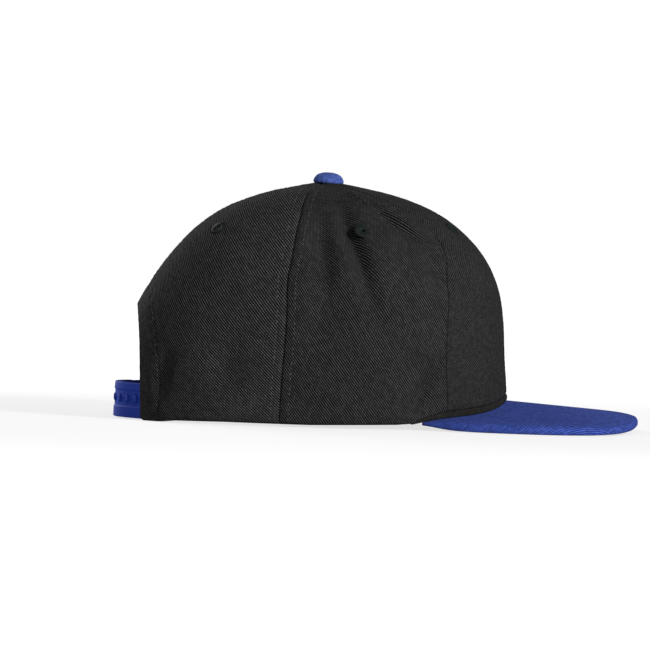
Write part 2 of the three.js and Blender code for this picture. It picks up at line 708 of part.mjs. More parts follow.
function strapPoint(distance, rise, depth) {
  const angle = strapAngle(distance);
  const row = strapRow(rise);
  const y = crownBase(angle, strapRow(STRAP_HEIGHT / 2)).y;
  return crownPoint(angle > 180 ? angle - 360 : angle, row, innerHalfOffset(y) + depth);
}

const OUTER_LAYER = STRAP_WALL + STRAP_CLEARANCE;
const CHANNEL_LEVEL = STRAP_HEIGHT / 2 + CHANNEL_RISE;
const SNAP_LAST = SNAP_FIRST + SNAP_PITCH * (SNAP_COUNT - 1);
const ARCH_CORNER = STRAP_LINE.find(({ angle }) => (
  crownBase(angle, strapRow(STRAP_HEIGHT / 2)).y > ARCH_HALF_WIDTH)).distance;
const CHANNEL_FROM = SNAP_FIRST - SNAP_PITCH / 2;
const CHANNEL_TO = SNAP_LAST + SNAP_PITCH / 2;

// One half of the strap from one distance to another, with an optional channel in its face.
function strapHalf(from, to, layer, channelled) {
  const low = CHANNEL_LEVEL - CHANNEL_WIDTH / 2;
  const high = CHANNEL_LEVEL + CHANNEL_WIDTH / 2;
  const levels = [
    { rise: 0, depth: -STRAP_ROUND / 2 },
    { rise: STRAP_ROUND, depth: 0 },
    ...(channelled ? [
      { rise: low - CHANNEL_WALL_SLOPE, depth: 0 },
      { rise: low, depth: 0, channel: true },
      { rise: high, depth: 0, channel: true },
      { rise: high + CHANNEL_WALL_SLOPE, depth: 0 },
    ] : []),
    { rise: STRAP_HEIGHT - STRAP_ROUND, depth: 0 },
    { rise: STRAP_HEIGHT, depth: -STRAP_ROUND / 2 },
  ];
  const stations = [];
  for (let i = 0; i <= STRAP_STEPS; i += 1) stations.push(lerp(from, to, i / STRAP_STEPS));
  if (channelled) {
    const slopes = [CHANNEL_FROM - CHANNEL_WALL_SLOPE, CHANNEL_FROM, CHANNEL_TO,
      CHANNEL_TO + CHANNEL_WALL_SLOPE];
    const clear = stations.filter((at) => slopes.every((slope) => Math.abs(at - slope) > STATION_GAP));
    stations.splice(0, stations.length, ...[...clear, ...slopes].sort((a, b) => a - b));
  }
  const outer = stations.map((at) => levels.map(({ rise, depth, channel }) => {
    const sunk = channel && at >= CHANNEL_FROM && at <= CHANNEL_TO ? CHANNEL_DEPTH : 0;
    return strapPoint(at, rise, layer + depth - sunk);
  }));
  const inner = stations.map((at) => levels.map(({ rise }) => (
    strapPoint(at, rise, layer - STRAP_WALL))));
  return sheet(outer, inner);
}

function snapPlaces() {
  return Array.from({ length: SNAP_COUNT }, (_, i) => {
    const distance = SNAP_FIRST + SNAP_PITCH * i;
    const place = strapPoint(distance, CHANNEL_LEVEL, 0);
    const axis = strapPoint(distance, CHANNEL_LEVEL, 1).sub(place).normalize();
    return { place, axis };
  });
}

// The outer half, sewn in on the wearer's right, with a channel of holes.
function strapWithHoles() {
  const band = strapHalf(-ARCH_CORNER - STRAP_ANCHOR, SNAP_LAST + SNAP_MARGIN, OUTER_LAYER, true);
  const drills = snapPlaces().map(({ place, axis }) => (
    drill(PEG_RADIUS + STRAP_CLEARANCE, 6 * STRAP_WALL, place, axis)));
  return cut(band, drills);
}

// The inner half, sewn in on the wearer's left, with pegs through those holes.
function strapWithPegs() {
  const band = strapHalf(SNAP_FIRST - SNAP_MARGIN, ARCH_CORNER + STRAP_ANCHOR, 0, false);
  const domed = OUTER_LAYER + PEG_PROUD - PEG_DOME;
  const end = PEG_END.map(({ radius, height }) => (
    [PEG_RADIUS * radius, domed + PEG_DOME * height]));
  const peg = turned([
    [0, -STRAP_WALL / 2],
    [PEG_RADIUS, -STRAP_WALL / 2],
    ...end,
  ], SMALL_SIDES);
  return join(band, snapPlaces().map(({ place, axis }) => standing(peg, place, axis)));
}

// The sweatband inside the crown, from one corner of the opening round the front to the other.
function sweatband() {
  const rowSteps = 3;
  const outer = [];
  const inner = [];
  const end = backAngle(ARCH_HALF_WIDTH + SEAM_GAP, rowAtHeight(BAND_HEIGHT / 2));
  for (let i = 0; i <= BAND_STEPS; i += 1) {
    const angle = lerp(-end, end, i / BAND_STEPS);
    const shift = smoothstep(Math.abs(angle), BAND_SHIFT_FROM, BAND_SHIFT_TO);
    const face = -lerp(
      FRONT_WALL + SEAM_GAP,
      HEM_WALL + STRAP_CLEARANCE + STRAP_WALL + SEAM_GAP,
      shift,
    );
    const outerRow = [];
    const innerRow = [];
    for (let j = 0; j <= rowSteps; j += 1) {
      const row = rowAtHeight(rimHeight(angle) + BAND_LIFT + BAND_HEIGHT * (j / rowSteps));
      outerRow.push(crownPoint(angle, row, face));
      innerRow.push(crownPoint(angle, row, face - BAND_WALL));
    }
    outer.push(outerRow);
    inner.push(innerRow);
  }
  return sheet(outer, inner);
}

const cap = new THREE.Group();
for (const [sideName, side] of [['left', 1], ['right', -1]]) {
  for (const kind of ['front', 'side', 'back']) {
    const finish = kind === 'front' ? FRONT_CLOTH : CLOTH;
    cap.add(piece(`crown_${kind}_${sideName}`, panel(kind, side), finish));
    cap.add(piece(`eyelet_${kind}_${sideName}`, eyelet(kind, side), THREAD));
  }
}
cap.add(piece('back_arch_hem', archHem(), CLOTH));
cap.add(piece('peak_seam_roll', seamRoll(), CLOTH));
cap.add(piece('peak', peak(), BLUE_CLOTH));
cap.add(piece('strap_with_holes', strapWithHoles(), BLUE_PLASTIC));
cap.add(piece('strap_with_pegs', strapWithPegs(), BLUE_PLASTIC));
cap.add(piece('sweatband', sweatband(), CLOTH));

const topButton = piece('top_button', button(), BLUE_CLOTH);
topButton.position.copy(crownBase(0, TOP_ROW));
cap.add(topButton);

// The bottom centre of the box goes to the origin.
cap.updateMatrixWorld(true);
const box = new THREE.Box3().setFromObject(cap, true);
const middle = box.getCenter(new THREE.Vector3());
cap.position.set(-middle.x, -middle.y, -box.min.z);

export default cap;
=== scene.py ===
"""A snapback cap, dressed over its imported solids.

The crown has six panels of dark twill, a hem round the arched opening behind, a sewn roll over
the peak and a sweatband inside. The peak and the top button are covered in blue twill, the six
eyelets are worked in thread, and the two halves of the strap are moulded in blue plastic.
"""
import logging
import math
from dataclasses import dataclass, field
from enum import Enum
from typing import Callable, Sequence

import bmesh
import bpy
import numpy as np
from mathutils import Matrix, Quaternion, Vector


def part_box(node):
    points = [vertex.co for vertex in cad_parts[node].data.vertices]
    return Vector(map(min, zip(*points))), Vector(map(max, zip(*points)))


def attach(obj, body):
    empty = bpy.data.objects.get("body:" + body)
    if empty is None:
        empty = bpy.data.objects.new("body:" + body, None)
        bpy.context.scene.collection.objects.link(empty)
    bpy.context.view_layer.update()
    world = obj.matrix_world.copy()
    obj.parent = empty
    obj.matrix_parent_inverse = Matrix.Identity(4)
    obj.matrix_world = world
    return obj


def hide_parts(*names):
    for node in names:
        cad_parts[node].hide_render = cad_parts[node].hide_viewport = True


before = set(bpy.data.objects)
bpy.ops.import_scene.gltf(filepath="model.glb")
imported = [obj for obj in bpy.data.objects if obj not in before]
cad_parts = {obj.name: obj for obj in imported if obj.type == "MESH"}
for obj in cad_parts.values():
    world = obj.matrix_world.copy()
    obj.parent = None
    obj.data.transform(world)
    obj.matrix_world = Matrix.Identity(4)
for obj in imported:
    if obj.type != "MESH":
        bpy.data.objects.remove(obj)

LOG = logging.getLogger("snapback_cap")
MM = 0.001
CLOTH_MAP = "cloth"
WELD = 1e-7
Array = np.ndarray
Colour = tuple[float, float, float]


def lerp(a: Array | float, b: Array | float, share: Array | float) -> Array:
    """The place a share of the way from a to b."""
    return a + (b - a) * share


def distances(points: Array) -> Array:
    """Distance travelled along a line, at each of its points."""
    return np.concatenate([[0], np.cumsum(np.linalg.norm(np.diff(points, axis=0), axis=1))])


def smoothstep(value: Array | float, low: float, high: float) -> Array:
    """A smooth step from 0 at low to 1 at high."""
    share = np.clip((value - low) / (high - low), 0, 1)
    return share * share * (3 - 2 * share)


def rounded_drop(distance: Array, radius: float, depth: float) -> Array:
    """How far a rounded edge falls away, at a distance from the edge.

    Args:
        distance: Distance from the edge.
        radius: Distance over which the edge is rounded.
        depth: Drop right at the edge.

    Returns:
        The drop, which is 0 past the radius.
    """
    share = 1 - np.clip(distance / radius, 0, 1)
    return depth * (1 - np.sqrt(1 - share * share))


def ripple(place: Array, length: float, seed: int) -> Array:
    """An uneven wave from about -1 to 1, the same for the same seed.

    Args:
        place: Distance along the wave.
        length: Mean length of one wave.
        seed: Chooses the phases.

    Returns:
        The height of the wave.
    """
    phases = np.random.default_rng(seed).uniform(0, 2 * math.pi, 4)
    turns = 2 * math.pi * place / length
    parts = [(0.5, 1.0), (0.3, 0.63), (0.3, 1.71), (0.2, 0.37)]
    return sum(size * np.sin(rate * turns + phase) for (size, rate), phase in zip(parts, phases))


class Side(Enum):
    """The wearer's left or right."""

    LEFT = 1
    RIGHT = -1


class PanelKind(Enum):
    """The three kinds of crown panel on each side."""

    FRONT = "front"
    SIDE = "side"
    BACK = "back"


@dataclass(frozen=True)
class Fold:
    """A fold from an upper to a lower place on the crown.

    Levels are shares of the crown's height, and width and depth are shares of the form's own.
    """

    upper_angle: float
    upper_level: float
    lower_angle: float
    lower_level: float
    width: float
    depth: float


@dataclass(frozen=True)
class CrownForm:
    """The form that all the crown's cloth follows, in millimetres of the cap's own frame.

    An angle runs round the crown in degrees from the front, positive on the wearer's left. A row
    runs from 0 at the rim to 10 at the top.
    """

    height: float = 131
    half_length: float = 107.5
    half_width: float = 82
    lean: float = 8
    fullness: float = 0.02
    puff: float = 0.9
    front_rise: float = 15.2
    roll_height: float = 3.6
    fold_width: float = 5.0
    fold_depth: float = 5.2
    fold_taper: float = 1.2
    top_hole_radius: float = 3.2
    arch_half_width: float = 42.6
    arch_height: float = 62
    arch_power: float = 2.6
    hem_width: float = 12.5
    top_row: int = 10
    sections: dict[str, tuple[float, ...]] = field(default_factory=lambda: {
        "height": (0, 0.15, 0.3, 0.45, 0.58, 0.7, 0.8, 0.88, 0.937, 0.975, 1),
        "lean": (0, 0, 0.09, 0.37, 0.73, 0.96, 1, 1, 1, 0.9, 0.75),
        "length": (0.996, 0.989, 0.967, 0.934, 0.877, 0.79, 0.68, 0.545, 0.38, 0.2, 0),
        "width": (1, 1.005, 1, 0.978, 0.925, 0.835, 0.715, 0.57, 0.4, 0.21, 0),
        "front_seam": (47.6, 47.9, 47.8, 47.2, 46.2, 42.6, 42, 46, 53, 58, 60),
        "back_seam": (99, 98.8, 98.8, 100, 102.5, 103.6, 104.5, 106, 110, 116, 120),
    })
    rim_angles: tuple[float, ...] = (
        0, 4, 8, 14, 22, 30, 37, 44, 50, 55, 60, 64, 90, 115, 132, 138, 180)
    rim_rises: tuple[float, ...] = (
        1, 0.99, 0.95, 0.86, 0.73, 0.61, 0.53, 0.46, 0.4, 0.3, 0.18, 0.16, 0.08, 0.09, 0.06, 0, 0)
    rim_rolls: tuple[float, ...] = (1, 1, 1, 1, 1, 1, 1, 1, 0.9, 0.6, 0.12, 0, 0, 0, 0, 0, 0)
    folds: tuple[Fold, ...] = (
        Fold(-86.5, 0.97, -74, 0.5, 0.9, 1.35),
        Fold(-77, 0.99, -63, 0.85, 0.4, -0.4),
        Fold(-80, 0.66, -69, 0.36, 1.1, 0.4),
        Fold(-67, 0.96, -51, 0.74, 0.8, 0.9),
        Fold(-97, 0.96, -88, 0.46, 1.1, 0.85),
        Fold(-52, 0.74, -50, 0.54, 1, 0.45),
        Fold(-51, 0.3, -61, 0.02, 0.9, 0.8),
        Fold(-154, 0.46, -154, -0.5, 4.6, 0.42),
        Fold(154, 0.46, 154, -0.5, 4.6, 0.42),
        Fold(-89, 0.58, -88, 0.22, 2, 0.5),
        Fold(-137, 0.34, -139, 0.05, 1.2, 0.55),
        Fold(-117, 0.42, -114, 0.08, 1.9, 0.6),
        Fold(84, 0.97, 76, 0.52, 1.1, 0.7),
        Fold(64, 0.96, 54, 0.78, 0.9, 0.5),
        Fold(53, 0.28, 60, 0.03, 1, 0.6),
        Fold(116, 0.44, 120, 0.1, 1.9, 0.5),
    )

    def column(self, name: str, row: Array) -> Array:
        """A column of the sections on a smooth curve through its rows.

        Args:
            name: Name of the column.
            row: Fractional rows.

        Returns:
            The column's values there.
        """
        own = np.array(self.sections[name], float)
        far_side = -1 if name in ("length", "width") else 1
        values = np.concatenate([[2 * own[0] - own[1]], own, [far_side * own[-2]]])
        row = np.asarray(row, float)
        index = np.clip(np.floor(row).astype(int), 0, self.top_row - 1)
        t = row - index
        a, b, c, d = (values[index + i] for i in range(4))
        return b + t / 2 * (c - a + t * (2 * a - 5 * b + 4 * c - d + t * (3 * (b - c) + d - a)))

    def row_at(self, height: Array | float) -> Array:
        """The row whose section lies at a height."""
        rows = np.linspace(0, self.top_row, 2001)
        return np.interp(height, self.height * self.column("height", rows), rows)

    def row_of_half_width(self, half_width: float) -> float:
        """The row near the top where the crown is that wide.

        Args:
            half_width: Half the crown's width.

        Returns:
            The fractional row.
        """
        rows = np.linspace(self.top_row - 2, self.top_row, 801)
        widths = self.half_width * self.column("width", rows)
        return float(np.interp(-half_width, -widths, rows))

    @property
    def edge_row(self) -> float:
        """The row at which the panels end round the hole under the button."""
        return self.row_of_half_width(self.top_hole_radius)

    def rim_height(self, angle: Array) -> Array:
        """Height of the crown's lower edge."""
        around = np.abs(wrapped(angle))
        return self.front_rise * np.interp(around, self.rim_angles, self.rim_rises)

    def roll_at(self, angle: Array) -> Array:
        """Height of the sewn roll on the lower edge."""
        around = np.abs(wrapped(angle))
        return self.roll_height * np.interp(around, self.rim_angles, self.rim_rolls)

    def base(self, angle: Array, row: Array) -> Array:
        """Points of the smooth crown, before folds.

        Args:
            angle: Angles round the crown.
            row: Fractional rows.

        Returns:
            The points.
        """
        turn = np.radians(angle)
        full = 1 + self.fullness * np.sin(2 * turn) ** 2
        return np.stack(np.broadcast_arrays(
            self.lean * self.column("lean", row)
            + self.half_length * self.column("length", row) * np.cos(turn) * full,
            self.half_width * self.column("width", row) * np.sin(turn) * full,
            self.height * self.column("height", row),
        ), axis=-1)

    def normal(self, angle: Array, row: Array) -> Array:
        """Directions straight out of the smooth crown.

        Args:
            angle: Angles round the crown.
            row: Fractional rows.

        Returns:
            The directions, each of length 1.
        """
        angle, row = np.asarray(angle, float), np.asarray(row, float)
        round_it = self.base(angle + 0.5, row) - self.base(angle - 0.5, row)
        up_it = self.base(angle, row + 0.01) - self.base(angle, row - 0.01)
        out = np.cross(round_it, up_it)
        return out / np.linalg.norm(out, axis=-1, keepdims=True)

    def fold_at(self, angle: Array, row: Array) -> Array:
        """How far the folds draw the cloth in.

        Args:
            angle: Angles round the crown.
            row: Fractional rows.

        Returns:
            The depth there.
        """
        angle = wrapped(angle)
        level = self.column("height", row)
        radius = (self.half_length * self.column("length", row)
                  + self.half_width * self.column("width", row)) / 2
        depth = np.zeros(np.broadcast(angle, level).shape)
        for fold in self.folds:
            along = (fold.upper_level - level) / (fold.upper_level - fold.lower_level)
            inside = np.clip(along, 0, 1)
            middle = lerp(fold.upper_angle, fold.lower_angle, along)
            across = np.radians(angle - middle) * radius / (fold.width * self.fold_width)
            fade = np.sin(math.pi * inside) ** self.fold_taper
            depth = depth + fold.depth * self.fold_depth * fade * np.exp(-across * across)
        return depth

    def panel_puff(self, angle: Array, row: Array) -> Array:
        """How far a soft panel stands out between its seams.

        Args:
            angle: Angles round the crown.
            row: Fractional rows.

        Returns:
            The distance there.
        """
        around = np.abs(wrapped(angle))
        front = self.column("front_seam", row)
        back = self.column("back_seam", row)
        on_side = (around >= front) & (around < back)
        start = np.where(on_side, front, back)
        end = np.where(on_side, back, 180)
        share = np.clip((around - start) / (end - start), 0, 1)
        fade = smoothstep(row, 0, 2) * (1 - smoothstep(row, self.top_row - 2, self.top_row))
        return np.where(around < front, 0, self.puff * fade * np.sin(math.pi * share))

    def point(self, angle: Array, row: Array, offset: Array | float) -> Array:
        """Points at an offset out of the crown's outer face."""
        out = offset + self.panel_puff(angle, row) - self.fold_at(angle, row)
        return self.base(angle, row) + self.normal(angle, row) * out[..., None]

    def degree_length(self, angle: Array, row: Array) -> Array:
        """Length of one degree round the crown.

        Args:
            angle: Angles round the crown.
            row: Fractional rows.

        Returns:
            The length there.
        """
        angle = np.asarray(angle, float)
        step = self.base(angle + 0.5, row) - self.base(angle - 0.5, row)
        return np.linalg.norm(step, axis=-1)

    def flat(self, angle: Array, row: Array, middle: float) -> Array:
        """Places on the cloth as it was cut: to the right of a middle line, and up it.

        Args:
            angle: Angles round the crown.
            row: Fractional rows.
            middle: Angle of the middle line.

        Returns:
            The distance to the viewer's right and up, in millimetres.
        """
        steps = np.linspace(-400, 400, 1601)
        lengths = distances(self.base(steps, 0.0 * steps))
        shrink = (self.column("length", row) + self.column("width", row)) / 2
        right = (np.interp(angle, steps, lengths) - np.interp(middle, steps, lengths)) * shrink
        rows = np.linspace(0, self.top_row, 401)
        climbs = distances(self.base(np.full_like(rows, middle), rows))
        up = np.interp(row, rows, climbs)
        return np.stack(np.broadcast_arrays(right, up), axis=-1)

    def back_angle(self, half_width: Array, row: Array) -> Array:
        """The angle on the left of the back that lies at a distance from the middle.

        Args:
            half_width: Distances from the middle.
            row: Fractional rows.

        Returns:
            The angles, from 90 to 180.
        """
        low, high = np.full(np.shape(half_width), 90.0), np.full(np.shape(half_width), 180.0)
        for _ in range(40):
            middle = (low + high) / 2
            too_far = self.base(middle, row)[..., 1] > half_width
            low, high = np.where(too_far, middle, low), np.where(too_far, high, middle)
        return (low + high) / 2

    def arch_line(self, turn: Array, across: Array | float) -> tuple[Array, Array]:
        """Half width and height of a line round the arched opening.

        Args:
            turn: Turn from the floor (0) to the top (half of pi).
            across: Distance of the line from the opening's edge.

        Returns:
            Half the line's width, and its height, at each turn.
        """
        power = 2 / self.arch_power
        return (
            (self.arch_half_width + across) * np.clip(np.cos(turn), 0, 1) ** power,
            (self.arch_height + across) * np.clip(np.sin(turn), 0, 1) ** power,
        )

    def seam(self, name: str, row: Array) -> Array:
        """Angle of a seam at a row; the middle seams lie at 0 and 180."""
        fixed = {"middle_front": 0.0, "middle_back": 180.0}
        return np.full_like(row, fixed[name]) if name in fixed else self.column(name, row)


def wrapped(angle: Array | float) -> Array:
    """An angle brought into the range from -180 to 180."""
    return (np.asarray(angle, float) + 180) % 360 - 180


def even_rows(form: CrownForm, angle: float, low: float, high: float, shares: Array) -> Array:
    """Rows at even distances up the crown.

    Args:
        form: The crown's form.
        angle: Angle at which the distances are measured.
        low: First row.
        high: Last row.
        shares: Shares of the way from the first row to the last.

    Returns:
        The rows at those shares.
    """
    rows = np.linspace(low, high, 200)
    climbs = distances(form.base(np.full_like(rows, angle), rows))
    return np.interp(shares * climbs[-1], climbs, rows)


class CapFrame:
    """Turns millimetres of the cap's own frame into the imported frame's metres."""

    def __init__(self, form: CrownForm, button_height: float) -> None:
        """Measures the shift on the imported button.

        Args:
            form: The crown's form.
            button_height: Height of the button above the crown.
        """
        low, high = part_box("top_button")
        top = form.base(0.0, float(form.top_row))
        self.shift = np.array([
            (low.x + high.x) / 2 / MM - top[0], 0.0, high.z / MM - top[2] - button_height])

    def __call__(self, points: Array) -> Array:
        """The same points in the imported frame, in metres."""
        return (np.asarray(points) + self.shift) * MM


@dataclass
class Patch:
    """A grid of points with the flat place of each on its cloth, both in metres."""

    points: Array
    flat: Array

    @property
    def columns(self) -> int:
        """Faces along a row."""
        return self.points.shape[1] - 1

    @property
    def rows(self) -> int:
        """Faces up a column."""
        return self.points.shape[0] - 1

    def area(self) -> float:
        """Area of the patch.

        Returns:
            The area in square metres.
        """
        a, b = self.points[:-1, :-1], self.points[:-1, 1:]
        c, d = self.points[1:, 1:], self.points[1:, :-1]
        return float(np.linalg.norm(np.cross(c - a, d - b), axis=-1).sum() / 2)

    def cut_size(self) -> tuple[float, float]:
        """Width and length of the rectangle it is cut from, at least as large as its area.

        Returns:
            The width and the length in metres.
        """
        width, length = np.ptp(self.flat.reshape(-1, 2), axis=0)
        grow = max(1.0, math.sqrt(self.area() / (width * length)))
        return float(width * grow), float(length * grow)

    def bmesh(self) -> bmesh.types.BMesh:
        """The patch as a grid mesh with its flat places as a UV map.

        Returns:
            The mesh.
        """
        mesh = bmesh.new()
        layer = mesh.loops.layers.uv.new(CLOTH_MAP)
        bmesh.ops.create_grid(mesh, x_segments=self.columns, y_segments=self.rows, size=0.5)
        seats = {}
        for vert in mesh.verts:
            column = round((vert.co.x + 0.5) * self.columns)
            row = round((vert.co.y + 0.5) * self.rows)
            seats[vert.index] = (row, column)
            vert.co = self.points[row, column]
        for face in mesh.faces:
            for loop in face.loops:
                loop[layer].uv = self.flat[seats[loop.vert.index]]
        return mesh


def added(name: str, data: bpy.types.ID) -> bpy.types.Object:
    """A new object in the scene.

    Args:
        name: Its name.
        data: Its mesh, lamp or camera.

    Returns:
        The object.
    """
    thing = bpy.data.objects.new(name, data)
    bpy.context.scene.collection.objects.link(thing)
    return thing


def mesh_object(mesh: bmesh.types.BMesh, name: str) -> bpy.types.Object:
    """A bmesh as a new object in the scene.

    Args:
        mesh: The mesh, which is freed.
        name: Name of the object and of its mesh.

    Returns:
        The object.
    """
    data = bpy.data.meshes.new(name)
    mesh.to_mesh(data)
    mesh.free()
    return added(name, data)


def finished(mesh: bmesh.types.BMesh, name: str, material: bpy.types.Material,
             node: str = "", sharp: float = 180) -> bpy.types.Object:
    """Turns a bmesh into a smooth-shaded piece that rides on the cap.

    Args:
        mesh: The mesh, which is freed.
        name: Name of the piece.
        material: Its material.
        node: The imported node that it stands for, if there is one.
        sharp: Angle in degrees above which an edge stays sharp.

    Returns:
        The new object.
    """
    piece = mesh_object(mesh, name)
    piece.data.shade_smooth()
    if sharp < 180:
        piece.data.set_sharp_from_angle(angle=math.radians(sharp))
    piece.data.materials.append(material)
    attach(piece, "root")
    if node:
        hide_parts(node)
    LOG.info("%s: %d faces", name, len(piece.data.polygons))
    return piece


def spin(mesh: bmesh.types.BMesh, profile: Sequence[tuple[float, float]], steps: int,
         ring: bool = False) -> None:
    """Spins a section round the Z axis.

    Args:
        mesh: The mesh that takes the spun form.
        profile: Radius and height of the section's corners, in millimetres.
        steps: Steps of the whole turn.
        ring: Whether the last corner joins the first.
    """
    corners = [mesh.verts.new((radius * MM, 0, height * MM)) for radius, height in profile]
    following = corners[1:] + (corners[:1] if ring else [])
    edges = [mesh.edges.new(pair) for pair in zip(corners, following)]
    bmesh.ops.spin(mesh, geom=corners + edges, cent=(0, 0, 0), axis=(0, 0, 1),
                   angle=2 * math.pi, steps=steps, use_merge=True)


def welded(mesh: bmesh.types.BMesh) -> None:
    """Merges doubled points and turns the faces out."""
    bmesh.ops.remove_doubles(mesh, verts=mesh.verts, dist=WELD)
    bmesh.ops.recalc_face_normals(mesh, faces=mesh.faces)


def closed(mesh: bmesh.types.BMesh) -> bmesh.types.BMesh:
    """Merges a wrapped mesh along its join, fills its open ends and turns its faces out.

    Args:
        mesh: The mesh to close.

    Returns:
        The same mesh.
    """
    bmesh.ops.remove_doubles(mesh, verts=mesh.verts, dist=WELD)
    ends = [edge for edge in mesh.edges if edge.is_boundary]
    bmesh.ops.holes_fill(mesh, edges=ends, sides=0)
    bmesh.ops.recalc_face_normals(mesh, faces=mesh.faces)
    return mesh


def walled(piece: bpy.types.Object, wall: float) -> None:
    """Gives a sheet its wall, inwards, in millimetres.

    Args:
        piece: The sheet.
        wall: Its wall.
    """
    thickness = piece.modifiers.new("Wall", "SOLIDIFY")
    thickness.thickness = wall * MM
    thickness.offset = -1
    thickness.use_even_offset = True
    thickness.use_quality_normals = True


def strip_section(width: float, wall: float, rounding: float, face: int, back: int,
                  corner: int = 4) -> tuple[Array, Array]:
    """The outline of a strip with rounded edges, as a closed line from the middle of its back.

    Args:
        width: Width of the strip.
        wall: Its thickness.
        rounding: Radius of its edges, at most half the thickness.
        face: Steps across its outer face.
        back: Steps across its inner face, an even number.
        corner: Steps round each corner.

    Returns:
        Distance across from the first edge, and depth from the outer face (negative inwards).
    """
    across, depth = [], []
    half_back = np.linspace(0, 1, back // 2 + 1)[:-1]
    turns = np.linspace(0, math.pi / 2, corner + 1)[:-1]
    across += list(lerp(width / 2, rounding, half_back))
    depth += [-wall] * len(half_back)
    across += list(rounding - rounding * np.sin(turns))
    depth += list(-wall + rounding - rounding * np.cos(turns))
    across += list(rounding - rounding * np.cos(turns))
    depth += list(-rounding + rounding * np.sin(turns))
    across += list(np.linspace(rounding, width - rounding, face + 1)[:-1])
    depth += [0.0] * face
    across += list(width - rounding + rounding * np.sin(turns))
    depth += list(-rounding + rounding * np.cos(turns))
    across += list(width - rounding + rounding * np.cos(turns))
    depth += list(-wall + rounding - rounding * np.sin(turns))
    across += list(lerp(width - rounding, width / 2, half_back)) + [width / 2]
    depth += [-wall] * (len(half_back) + 1)
    return np.array(across), np.array(depth)


def outline_length(across: Array, depth: Array) -> Array:
    """Distance round a section's outline at each of its points."""
    return distances(np.stack([across, depth], axis=-1))


@dataclass(frozen=True)
class Stitch:
    """One kind of stitch, in millimetres."""

    length: float = 1.9
    gap: float = 0.8
    radius: float = 0.23
    lift: float = -0.1


class StitchWork:
    """Rows of thread stitches that lie on the cloth, gathered in one mesh."""

    def __init__(self, name: str, cap: CapFrame) -> None:
        """Starts with no stitches.

        Args:
            name: Name of the finished piece.
            cap: The cap's frame.
        """
        self.name = name
        self.cap = cap
        self.stitch = Stitch()
        self.mesh = bmesh.new()

    def row(self, points: Array, normals: Array) -> None:
        """Sews one row of stitches along a line.

        Args:
            points: Points of the line on the cloth, in millimetres of the cap's own frame.
            normals: Direction out of the cloth at each point.
        """
        stitch, along = self.stitch, distances(points)
        pitch = stitch.length + stitch.gap
        count = int(along[-1] // pitch)
        for i in range(count):
            at = (i + 0.5) * along[-1] / count
            reach = stitch.length / 2
            ends = [np.array([np.interp(at + way * reach, along, points[:, k]) for k in range(3)])
                    for way in (-1, 1)]
            out = Vector([np.interp(at, along, normals[:, k]) for k in range(3)]).normalized()
            forward = Vector(ends[1] - ends[0])
            forward = (forward - out * forward.dot(out)).normalized()
            sideways = out.cross(forward)
            place = Vector(self.cap((ends[0] + ends[1]) / 2)) + out * stitch.lift * MM
            turn = Matrix((forward, sideways, out)).transposed().to_4x4()
            size = Matrix.Diagonal((reach * MM, stitch.radius * MM, stitch.radius * MM, 1))
            bmesh.ops.create_icosphere(
                self.mesh, subdivisions=1, radius=1,
                matrix=Matrix.Translation(place) @ turn @ size)

    def done(self, material: bpy.types.Material) -> bpy.types.Object:
        """The stitches as one piece."""
        return finished(self.mesh, self.name, material)


class Board:
    """A node tree that is being wired up."""

    def __init__(self, tree: bpy.types.NodeTree) -> None:
        """Works on one tree."""
        self.tree = tree

    def add(self, kind: str, inputs: dict | None = None, **settings: object) -> bpy.types.Node:
        """Adds a node.

        Args:
            kind: Type of the node.
            inputs: Value or source of its inputs by name.
            settings: Its properties.

        Returns:
            The new node.
        """
        node = self.tree.nodes.new(kind)
        for name, value in settings.items():
            setattr(node, name, value)
        for name, value in (inputs or {}).items():
            self.feed(node.inputs[name], value)
        return node

    def feed(self, socket: bpy.types.NodeSocket, value: object) -> None:
        """Sets an input, or links it where the value is another node's output.

        Args:
            socket: The input.
            value: A value or an output.
        """
        if isinstance(value, bpy.types.NodeSocket):
            self.tree.links.new(value, socket)
        else:
            socket.default_value = value

    def math(self, operation: str, *values: object) -> bpy.types.NodeSocket:
        """The result of a Math node.

        Args:
            operation: What the node does.
            values: Values or outputs that it takes.

        Returns:
            Its output.
        """
        node = self.add("ShaderNodeMath", operation=operation)
        for i, value in enumerate(values):
            self.feed(node.inputs[i], value)
        return node.outputs[0]

    def varied(self, chance: object, strength: object) -> bpy.types.NodeSocket:
        """A shade about 1 from a value about a half."""
        return self.math("ADD", 1.0, self.math(
            "MULTIPLY", self.math("SUBTRACT", chance, 0.5), strength))

    def ranged(self, value: object, low: float, high: float, to_low: float,
               to_high: float) -> bpy.types.NodeSocket:
        """A value brought smoothly from one range to another.

        Args:
            value: The value or output.
            low: Start of its range.
            high: End of its range.
            to_low: Start of the new range.
            to_high: End of the new range.

        Returns:
            The new value.
        """
        node = self.add("ShaderNodeMapRange", interpolation_type="SMOOTHSTEP")
        for i, part in enumerate((value, low, high, to_low, to_high)):
            self.feed(node.inputs[i], part)
        return node.outputs[0]

    def mix(self, share: object, a: object, b: object) -> bpy.types.NodeSocket:
        """A mix of two colours.

        Args:
            share: Share of the second colour.
            a: The first colour.
            b: The second colour.

        Returns:
            The mixed colour.
        """
        node = self.add("ShaderNodeMix", data_type="RGBA")
        for i, part in ((0, share), (6, a), (7, b)):
            self.feed(node.inputs[i], part)
        return node.outputs[2]

    def scaled(self, colour: object, share: object) -> bpy.types.NodeSocket:
        """A colour made brighter or darker.

        Args:
            colour: The colour.
            share: What it is multiplied by.

        Returns:
            The new colour.
        """
        node = self.add("ShaderNodeVectorMath", operation="SCALE")
        self.feed(node.inputs[0], colour)
        self.feed(node.inputs["Scale"], share)
        return node.outputs[0]


